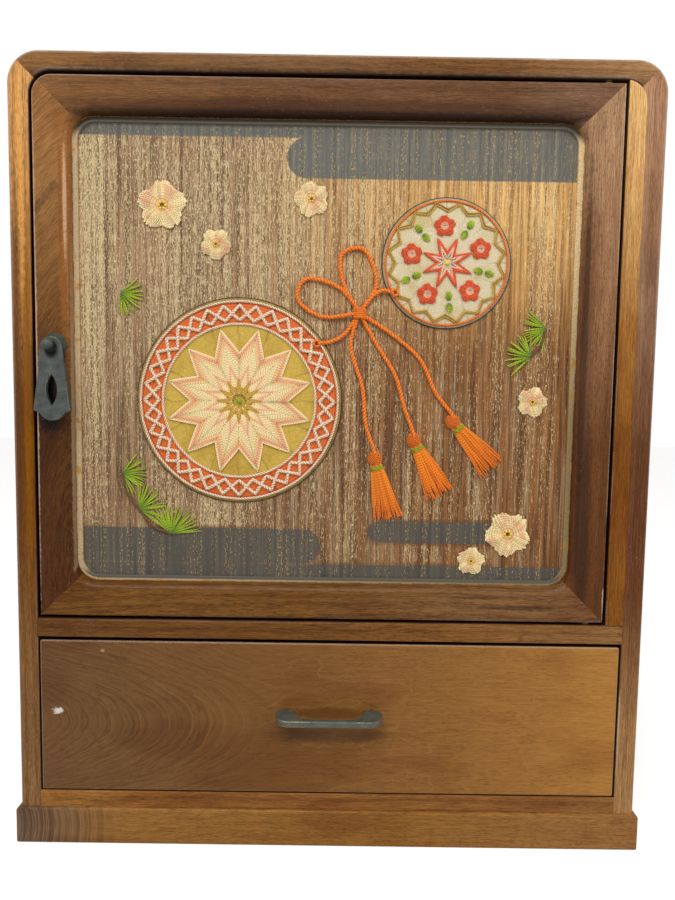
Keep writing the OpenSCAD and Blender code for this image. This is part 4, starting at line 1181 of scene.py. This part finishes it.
def islandMiddles(name):
    # The middle of each separate lump in a CAD node's mesh
    work = bmesh.new()
    work.from_mesh(nodes[name].data)
    bmesh.ops.remove_doubles(work, verts=work.verts, dist=easing["merge"])
    waiting = set(work.verts)
    middles = []
    while waiting:
        front = [waiting.pop()]
        lump = []
        while front:
            vert = front.pop()
            lump.append(vert.co.copy())
            for edge in vert.link_edges:
                other = edge.other_vert(vert)
                if other in waiting:
                    waiting.remove(other)
                    front.append(other)
        middles.append(sum(lump, Vector()) / len(lump) / mm)
    work.free()
    return middles


def joinMeshes(name, meshes):
    # One plain mesh piece from several, its attributes and materials kept
    parts = [addObject(name + "Part", mesh) for mesh in meshes]
    with bpy.context.temp_override(active_object=parts[0], selected_editable_objects=parts):
        bpy.ops.object.join()
    parts[0].name = name
    parts[0].data.name = name
    return parts[0]


# Nail heads round the back panel's edge, each a low dome

nailLook = {"Size": 1.8, "Flat": 0.32}
nailSunk = 0.6
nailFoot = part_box("back_nails")[1].y / mm - nailSunk
nailPlace = (Matrix.Translation((0, nailFoot * mm, 0)) @ Matrix.Rotation(math.radians(-90), 4, "X")
             @ Matrix.Scale(mm, 4))
nailSpots = sorted((round(spot.x, 2), round(-spot.z, 2), 0.0) for spot in islandMiddles("back_nails"))
nailMesh = grow(knotTree, nailLook, metals["nailIron"], nailPlace, nailSpots, joined=False)
nailPiece = joinMeshes("back_nail_heads", [nailMesh])
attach(nailPiece, bodyOf["back_nails"])
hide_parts("back_nails")
print("stage: nails driven,", len(nailSpots))


# Thread finishes read the twist from the section's own attributes

def makeThreadPly():
    tree, web, given, end = makeGroup("threadPly", {
        "Along": 0.0, "Round": (1, 0, 0), "Pitch": 1.2, "Plies": 3.0}, ["Height", "Groove"])
    flatX, flatY, flatZ = web.split(given["Round"])
    angle = web.math("ARCTAN2", flatY, flatX)
    wave = web.math("SINE", angle * given["Plies"] + given["Along"] * math.tau / given["Pitch"])
    web.fill(end, {"Height": wave, "Groove": web.fade(wave, -0.2, -1.0)})
    return tree


threadPly = makeThreadPly()


threadDefaults = {
    "shade": (110, 66, 30), "groove": 0.5, "rough": 0.42, "pitch": 1.3, "plies": 2.0, "tintShare": 0.7}


def makeThread(name, look):
    # Colours run from the thread's start to its end, with each thread a little lighter or darker
    look = {**threadDefaults, **look}
    made, web, shader, sized = newMaterial(name)
    around = web.kept("round", "Vector")
    colour = web.ramp(web.kept("layer"), look["colours"])
    if "tint" in look:
        share = web.fade(web.noise(sized, 2, size=0.16), 0.48, 0.62) * look["tintShare"]
        colour = web.mix(share, colour, look["tint"])
    level = web.kept("tone") * look["uneven"] + (1.0 - look["uneven"] * 0.5)
    colour = web.tint(colour, web.join(level, level, level))
    ply = web.group(threadPly, {"Along": web.kept("along"), "Round": around, "Pitch": look["pitch"],
                                "Plies": look["plies"]})
    colour = web.tint(colour, look["shade"], ply["Groove"] * look["groove"])
    if "lobed" in look:
        flatX, flatY, flatZ = web.split(around)
        lobe = abs(web.math("COSINE", web.math("ARCTAN2", flatY, flatX)))
        colour = web.tint(colour, look["shade"], web.fade(lobe, 0.62, 0.1))
    fuzz = web.noise(sized, 2, size=3.0)
    web.fill(shader, {"Base Color": colour, "Roughness": fuzz * 0.3 + look["rough"],
                      "Specular IOR Level": 0.35, "Sheen Weight": 0.25, "Sheen Roughness": 0.4,
                      "Normal": web.bump(ply["Height"], 0.0001, 0.7)})
    return made


threadLooks = {
    "creamThread": {"colours": [(0.0, (232, 176, 128)), (0.35, (248, 222, 160)), (1.0, (252, 232, 176))],
                    "tint": (236, 176, 138), "uneven": 0.34},
    "starThread": {"colours": [(0.0, (250, 226, 166)), (0.28, (240, 184, 142)), (0.42, (252, 230, 172)),
                               (0.66, (248, 222, 160)), (0.84, (234, 160, 112)), (1.0, (252, 234, 182))],
                   "uneven": 0.3},
    "coralThread": {"colours": [(0.0, (246, 214, 186)), (0.3, (226, 96, 46)), (1.0, (222, 78, 30))],
                    "uneven": 0.3},
    "goldThread": {"colours": [(0.0, (206, 164, 62)), (1.0, (190, 146, 50))], "uneven": 0.3},
    "darkThread": {"colours": [(0.0, (62, 44, 26)), (1.0, (52, 36, 20))], "uneven": 0.3},
    "whiteCord": {"colours": [(0.0, (246, 230, 206)), (1.0, (234, 214, 184))], "groove": 0.3,
                  "shade": (176, 124, 78), "uneven": 0.0, "lobed": True},
    "orangeCord": {"colours": [(0.0, (246, 138, 16)), (1.0, (236, 122, 8))], "groove": 0.25,
                   "shade": (206, 120, 60), "uneven": 0.0, "rough": 0.34, "lobed": True},
    "orangeStrand": {"colours": [(0.0, (250, 142, 18)), (1.0, (238, 122, 8))], "uneven": 0.45},
    "pineThread": {"colours": [(0.0, (74, 112, 20)), (0.45, (150, 176, 20)), (1.0, (176, 190, 34))],
                   "uneven": 0.5},
    "barkThread": {"colours": [(0.0, (112, 74, 36)), (1.0, (92, 60, 30))], "uneven": 0.0},
    "greenKnot": {"colours": [(0.0, (120, 160, 20)), (1.0, (120, 160, 20))], "uneven": 0.0},
    "yellowKnot": {"colours": [(0.0, (232, 196, 60)), (1.0, (232, 196, 60))], "uneven": 0.0},
}
threads = {name: makeThread(name, look) for name, look in threadLooks.items()}


def makeCloth(name, look):
    # Crepe over padding: fine speckle, radial creases and, on one ball, an orange band near the rim
    made, web, shader, sized = newMaterial(name)
    middle = (look["centre"][0], panelFace, look["centre"][1])
    across, depth, up = web.split(web.vector("SUBTRACT", sized, middle))
    reach = web.length(across, up)
    grit = web.noise(sized, 3, 0.7, size=2.1)
    patch = web.noise(sized, 3, size=0.07)
    colour = web.mix(web.fade(grit, 0.3, 0.7), look["dark"], look["light"])
    colour = web.tint(colour, look["patch"], web.fade(patch, 0.45, 0.7) * look["patches"])
    if "band" in look:
        inner, outer = look["bandFrom"], look["bandTo"]
        inBand = web.fade(reach, inner - 0.3, inner + 0.3) * web.fade(reach, outer + 0.3, outer - 0.3)
        weave = web.fade(web.math("SINE", reach * (math.tau / 1.4)), -1, 1)
        colour = web.mix(inBand, colour, web.mix(weave, look["band"], look["bandLight"]))
    angle = web.math("ARCTAN2", up, across)
    crease = web.fade(web.math("SINE", angle * 16 + patch * 3.0), 0.93, 1.0)
    crease = crease * web.fade(reach, look["radius"] * 0.4, look["radius"] * 0.9)
    # Painted shade darkens the creases
    colour = web.tint(colour, (120, 88, 40), crease * look["creaseShare"])
    # Darker towards the rim
    darkening = web.fade(reach, look["radius"] * 0.9, look["radius"])
    colour = web.tint(colour, (120, 84, 48), darkening * 0.5)
    web.fill(shader, {"Base Color": colour, "Roughness": grit * 0.2 + 0.62, "Specular IOR Level": 0.25,
                      "Sheen Weight": 0.3, "Normal": web.bump(crease * -1.0 + grit * 0.6, 0.0002, 0.6)})
    return made


# The picture: two wound balls, a bow with three tassels, pine tufts and scattered blossoms

balls = {
    "large": {"centre": (-46.25, 224.45), "radius": 50.0, "rim": 0.7, "lift": 1.5},
    "small": {"centre": (53.75, 292.45), "radius": 31.0, "rim": 0.7, "lift": 1.5},
}
clothLooks = {
    "large": {"light": (214, 182, 84), "dark": (176, 142, 50), "patch": (214, 196, 150), "patches": 0.5,
              "band": (206, 92, 32), "bandLight": (226, 116, 50), "bandFrom": 37.6, "bandTo": 48.2,
              "creaseShare": 0.45},
    "small": {"light": (228, 216, 184), "dark": (190, 172, 130), "patch": (226, 214, 150), "patches": 0.6,
              "creaseShare": 0.25},
}


def coverHeight(across, up):
    # How far the padded cloth stands off the panel at a place, in millimetres
    for ball in balls.values():
        reach = math.hypot(across - ball["centre"][0], up - ball["centre"][1]) / ball["radius"]
        if reach < 1:
            return ball["rim"] + ball["lift"] * (1 - reach * reach) ** cushionPower
    return 0.0


def polar(radius, angle):
    return radius * math.cos(angle), radius * math.sin(angle)


def circle(radius, count, height):
    return [(*polar(radius, math.tau * step / count), height) for step in range(count)]


def makeDome(name, ball, material):
    rings, sides, crowding, skirt = 22, 96, 1.6, 0.05
    shares = [1 - (1 - ring / rings) ** crowding for ring in range(1, rings + 1)]
    heights = [ball["rim"] + ball["lift"] * max(0.0, 1 - share * share) ** cushionPower for share in shares]
    outline = [(ball["radius"] * share, height) for share, height in zip(shares, heights)]
    outline.append((ball["radius"] + skirt, -skirt))
    work = bmesh.new()
    rows = [[work.verts.new((0, 0, ball["rim"] + ball["lift"]))] * sides]
    rows += [[work.verts.new(spot) for spot in circle(reach, sides, height)] for reach, height in outline]
    for inner, outer in zip(rows, rows[1:]):
        for side in range(sides):
            after = (side + 1) % sides
            corners = [inner[side], outer[side], outer[after], inner[after]]
            work.faces.new(corners[:3] if inner[side] is inner[after] else corners)
    work.faces.new(list(reversed(rows[-1])))
    bmesh.ops.recalc_face_normals(work, faces=work.faces)
    for face in work.faces:
        face.smooth = len(face.verts) < 5
    mesh = bpy.data.meshes.new(name)
    work.to_mesh(mesh)
    work.free()
    mesh.transform(onPanel(*ball["centre"]))
    mesh.materials.append(material)
    return mesh


def smoothLine(stops, steps=12):
    # A soft curve through the stops, whose third number is their height over the padding
    points = []
    ends = [stops[0]] + list(stops) + [stops[-1]]
    for a, b, c, d in zip(ends, ends[1:], ends[2:], ends[3:]):
        for step in range(steps):
            t = step / steps
            spot = [0.5 * (2 * b[i] + (c[i] - a[i]) * t + (2 * a[i] - 5 * b[i] + 4 * c[i] - d[i]) * t * t
                           + (3 * b[i] - a[i] - 3 * c[i] + d[i]) * t ** 3) for i in range(len(b))]
            points.append(spot)
    points.append(list(stops[-1]))
    return [(across, up, lift + coverHeight(across, up)) for across, up, lift in points]


def ballThreads(ball, rounds):
    shared = {"Ball": ball["radius"], "Rim": ball["rim"], "Lift": ball["lift"]}
    place = onPanel(*ball["centre"])
    return [grow(starTree, {**shared, **values}, threads[finish], place) for finish, values in rounds]


def ballCord(ball, finish, thick, points):
    values = {"Thick": thick, "Pitch": 3.0, "Groove": 0.3, "Step": 0.4}
    return grow(cordTree, values, threads[finish], onPanel(*ball["centre"]), points, True)


def ballKnot(ball, finish, size, height):
    values = {"Size": size, "Flat": 0.7}
    return grow(knotTree, values, threads[finish], onPanel(*ball["centre"]), [(0, 0, height)], joined=False)


largeBall = balls["large"]
domeMesh = makeDome("largeDome", largeBall, makeCloth("goldCloth", {**clothLooks["large"], **largeBall}))
largeMeshes = ballThreads(largeBall, [
    ("starThread", {"Corners": 24, "Inner": 3.6, "Outer": 11.0, "Rounds": 24, "Inner Step": 0.86,
                    "Outer Step": 1.06, "Thread": 0.52, "Seed": 3}),
    ("goldThread", {"Corners": 24, "Inner": 3.0, "Outer": 8.0, "Rounds": 4, "Inner Step": 0.6,
                    "Outer Step": 1.0, "Thread": 0.45, "Turn": math.tau / 24, "Rim": 1.0, "Seed": 5}),
])
largeX, largeZ = largeBall["centre"]
band = {"near": 39.2, "far": 46.6, "corners": 36, "steps": 6, "rise": 0.5, "edges": (37.4, 48.4),
        "edgeRise": 0.4, "points": 180}
for start in (0, 1):
    # Two zigzags cross to make diamonds round the orange band
    corners = [polar(band["near" if (corner + start) % 2 else "far"], math.tau * corner / band["corners"])
               for corner in range(band["corners"])]
    tied = []
    for (across, up), (nextAcross, nextUp) in zip(corners, corners[1:] + corners[:1]):
        for step in range(band["steps"]):
            share = step / band["steps"]
            spot = (across + (nextAcross - across) * share, up + (nextUp - up) * share)
            height = coverHeight(spot[0] + largeX, spot[1] + largeZ)
            over = band["rise"] * start * math.sin(math.pi * share)
            tied.append((*spot, height + band["rise"] + over))
    largeMeshes.append(ballCord(largeBall, "whiteCord", 0.85, tied))
for reach in band["edges"]:
    line = circle(reach, band["points"], coverHeight(largeX + reach, largeZ) + band["edgeRise"])
    largeMeshes.append(ballCord(largeBall, "whiteCord", 0.65, line))
largeMeshes.append(ballCord(largeBall, "darkThread", 0.45, circle(50.1, 200, 0.35)))
largeMeshes.append(ballKnot(largeBall, "greenKnot", 1.3, 2.9))
largePiece = joinMeshes("ball_large_threads", largeMeshes)
largeDome = addObject("ball_large", domeMesh)

smallBall = balls["small"]
domeMesh = makeDome("smallDome", smallBall, makeCloth("whiteCloth", {**clothLooks["small"], **smallBall}))
smallMeshes = ballThreads(smallBall, [
    ("coralThread", {"Corners": 16, "Inner": 2.4, "Outer": 8.0, "Rounds": 5, "Inner Step": 0.6,
                     "Outer Step": 1.1, "Thread": 0.5, "Seed": 8}),
    ("goldThread", {"Corners": 32, "Inner": 24.5, "Outer": 28.0, "Rounds": 2, "Inner Step": 0.9,
                    "Outer Step": 0.9, "Thread": 0.4, "Seed": 9}),
])
flowerLook = {"Ball": smallBall["radius"], "Rim": smallBall["rim"], "Lift": smallBall["lift"], "Petals": 5,
              "Stitches": 7, "Length": 4.6, "Width": 2.1, "Start": 0.9, "Thread": 0.42, "Crown": 0.4}
leafLook = {**flowerLook, "Petals": 2, "Stitches": 5, "Length": 4.4, "Width": 1.3}
for index in range(5):
    # A ring of five flowers, each with two leaves after it: distance out, turn, look, thread and seed
    for reach, turn, look, finish, seed in ((17.5, 0.4, flowerLook, "coralThread", 20),
                                            (18.5, 1.03, leafLook, "pineThread", 30)):
        angle = math.tau * index / 5 + turn
        across, up = polar(reach, angle)
        values = {**look, "Off Across": across, "Off Up": up, "Turn": angle, "Seed": seed + index}
        smallMeshes.append(grow(petalTree, values, threads[finish], onPanel(*smallBall["centre"])))
smallMeshes.append(ballCord(smallBall, "darkThread", 0.45, circle(31.1, 150, 0.35)))
smallMeshes.append(ballCord(smallBall, "orangeCord", 0.6, circle(29.6, 150, 1.4)))
smallMeshes.append(ballKnot(smallBall, "yellowKnot", 1.2, 2.7))
smallPiece = joinMeshes("ball_small_threads", smallMeshes)
smallDome = addObject("ball_small", domeMesh)

print("stage: balls wound")

# Bow, cords and tassels

knotSpot = (12.0, 268.0)
knotEnds = [(-8.6, 253.0), (28.9, 278.0)]
tassels = [{"spot": (39.75 + 19 * i, 206.45 + 9.5 * i), "turn": 14 * (i + 2)} for i in (-1, 0, 1)]
cordLooks = {"Thick": 1.05, "Pitch": 3.4, "Groove": 0.22, "Step": 0.5}
cordLines = [
    [(12, 268, 1.2), (2, 280, 1.2), (-14, 284, 1.2), (-18, 274, 1.2), (-6, 266, 1.2), (12, 268, 2.4)],
    [(12, 268, 1.2), (20, 282, 1.2), (14, 298, 1.2), (3, 296, 1.2), (4, 282, 1.2), (12, 268, 2.4)],
    [(12, 268, 1.4), (5, 258, 1.2), (-2, 254, 1.2), (-8.2, 253.2, 0.8)],
    [(12, 268, 1.4), (18, 276, 1.2), (23, 279, 1.2), (28.6, 277.9, 0.8)],
]
hangs = [
    [(12, 268, 1.6), (8, 252, 1.2), (14, 232, 1.2), (16, 214, 1.2)],
    [(12, 268, 1.6), (20, 254, 1.2), (30, 238, 1.2), (35, 222, 1.2)],
    [(12, 268, 1.6), (28, 258, 1.2), (42, 246, 1.2), (50, 230, 1.2)],
]
for tassel, hang in zip(tassels, hangs):
    across, up = tassel["spot"]
    cordLines.append(hang + [(across, up + 3.0, 1.2), (across, up, 1.2)])


def bowCord(points, **changes):
    return grow(cordTree, {**cordLooks, **changes}, threads["orangeCord"], onPanel(0, 0), points)


def coil(look, across=0.0, up=0.0):
    # A cord wound round a bar that lies on the panel
    points = []
    for step in range(look["points"]):
        angle = math.tau * step / look["perTurn"]
        points.append((across + look["wide"] * math.cos(angle), up + look["start"] + step * look["drift"],
                       look["height"] + look["deep"] * math.sin(angle)))
    return points


wrapLook = {"points": 70, "perTurn": 14, "wide": 3.2 * math.cos(0.5), "deep": 1.5, "start": -2.4,
            "drift": 0.07, "height": 2.2}
endLook = {"points": 20, "perTurn": 12, "radius": 1.5, "height": 0.6, "rise": 0.12}
cordMeshes = [bowCord(smoothLine(line)) for line in cordLines]
cordMeshes.append(bowCord(coil(wrapLook, *knotSpot), Thick=0.7))
for across, up in knotEnds:
    height = coverHeight(across, up) + endLook["height"]
    spiral = []
    for step in range(endLook["points"]):
        angle = math.tau * step / endLook["perTurn"]
        aside, above = polar(endLook["radius"], angle)
        spiral.append((across + aside, up + above, height + endLook["rise"] * angle))
    cordMeshes.append(bowCord(spiral, Thick=0.75))
bowPiece = joinMeshes("bow_and_cords", cordMeshes)

skirtLook = {"Strands": 30, "Top": 2.4, "Spread": 0.34, "Length": 28.0, "Body": 1.0, "Wave": 0.5,
             "Taper": 0.25, "Thread": 0.42}
skirtDrop = 2.6
collarLook = {"points": 44, "perTurn": 14, "wide": 2.9, "deep": 1.0, "start": -4.2, "drift": -0.035,
              "height": 0.9}
headLook = {"points": 150, "turns": 8, "radius": 3.4, "deep": 1.1}
head = []
for step in range(headLook["points"]):
    # The cord of a tassel's head is wound into a flattened ball
    share = step / (headLook["points"] - 1)
    level = 1 - 2 * share
    aside, above = polar(math.sqrt(max(0.0, 1 - level * level)), math.tau * share * headLook["turns"])
    head.append((headLook["radius"] * aside, headLook["radius"] * level, headLook["deep"] * (1 + above)))
tasselMeshes = []
for index, tassel in enumerate(tassels):
    place = onPanel(*tassel["spot"], tassel["turn"])
    below = place @ Matrix.Translation((0, -skirtDrop, 0))
    tasselMeshes.append(grow(strandTree, {**skirtLook, "Seed": 40 + index}, threads["orangeStrand"], below))
    for thick, finish, line in ((0.5, "orangeCord", head), (0.45, "pineThread", coil(collarLook))):
        winding = {"Thick": thick, "Pitch": 1.6, "Step": 0.5}
        tasselMeshes.append(grow(cordTree, winding, threads[finish], place, line))
tasselPiece = joinMeshes("tassels", tasselMeshes)

# Pine tufts and scattered blossoms

tufts = [(-96, 170, 118, 13), (-80, 158, 160, 14), (-104, 188, 80, 12), (96, 248, -110, 12),
         (103, 262, -75, 11), (-104, 276, 60, 11)]
pineMeshes = []
for index, (across, up, turn, length) in enumerate(tufts):
    values = {"Strands": 19, "Top": 0.3, "Spread": 2.3, "Length": length, "Body": 0.5, "Wave": 0.15,
              "Taper": 0.65, "Uneven": 0.1, "Thread": 0.5, "Seed": 60 + index}
    pineMeshes.append(grow(strandTree, values, threads["pineThread"], onPanel(across, up, turn)))
twigs = [[(-96, 170), (-90, 162), (-80, 158)], [(-104, 188), (-102, 178), (-96, 170)],
         [(96, 248), (101, 254), (103, 262)]]
for twig in twigs:
    line = smoothLine([(across, up, 0.8) for across, up in twig])
    pineMeshes.append(grow(cordTree, {**cordLooks, "Thick": 0.8}, threads["barkThread"], onPanel(0, 0),
                           line))
pinePiece = joinMeshes("pine_tufts", pineMeshes)

blossoms = [(-84, 318, 12.5, 0.3), (-58, 300, 8.0, 1.0), (88, 160, 12.0, 0.8), (70, 146, 7.5, 0.2),
            (-12, 322, 9.0, 0.6), (98, 226, 8.0, 1.3)]
petalShares = {"Start": 0.12, "Length": 0.88, "Width": 0.44, "Thread": 0.043}  # of a blossom's reach
heart = {"reach": 0.13, "size": 0.06, "knots": 6, "height": 1.1}
blossomMeshes = []
for index, (across, up, reach, turn) in enumerate(blossoms):
    values = {label: reach * share for label, share in petalShares.items()}
    values.update({"Petals": 5, "Stitches": 13, "Turn": turn, "Crown": 0.9, "Seed": 80 + index})
    place = onPanel(across, up)
    blossomMeshes.append(grow(petalTree, values, threads["creamThread"], place))
    spots = circle(reach * heart["reach"], heart["knots"], heart["height"])
    blossomMeshes.append(grow(knotTree, {"Size": reach * heart["size"], "Flat": 0.7}, threads["yellowKnot"],
                              place, spots, joined=False))
blossomPiece = joinMeshes("blossoms", blossomMeshes)

pictureBody = bodyOf["picture_ball_large"]
for piece in (largeDome, largePiece, smallDome, smallPiece, bowPiece, tasselPiece, pinePiece, blossomPiece):
    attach(piece, pictureBody)
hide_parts("picture_ball_large")
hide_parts("picture_ball_small")
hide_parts("picture_tassels")

print("stage: picture laid on the panel")
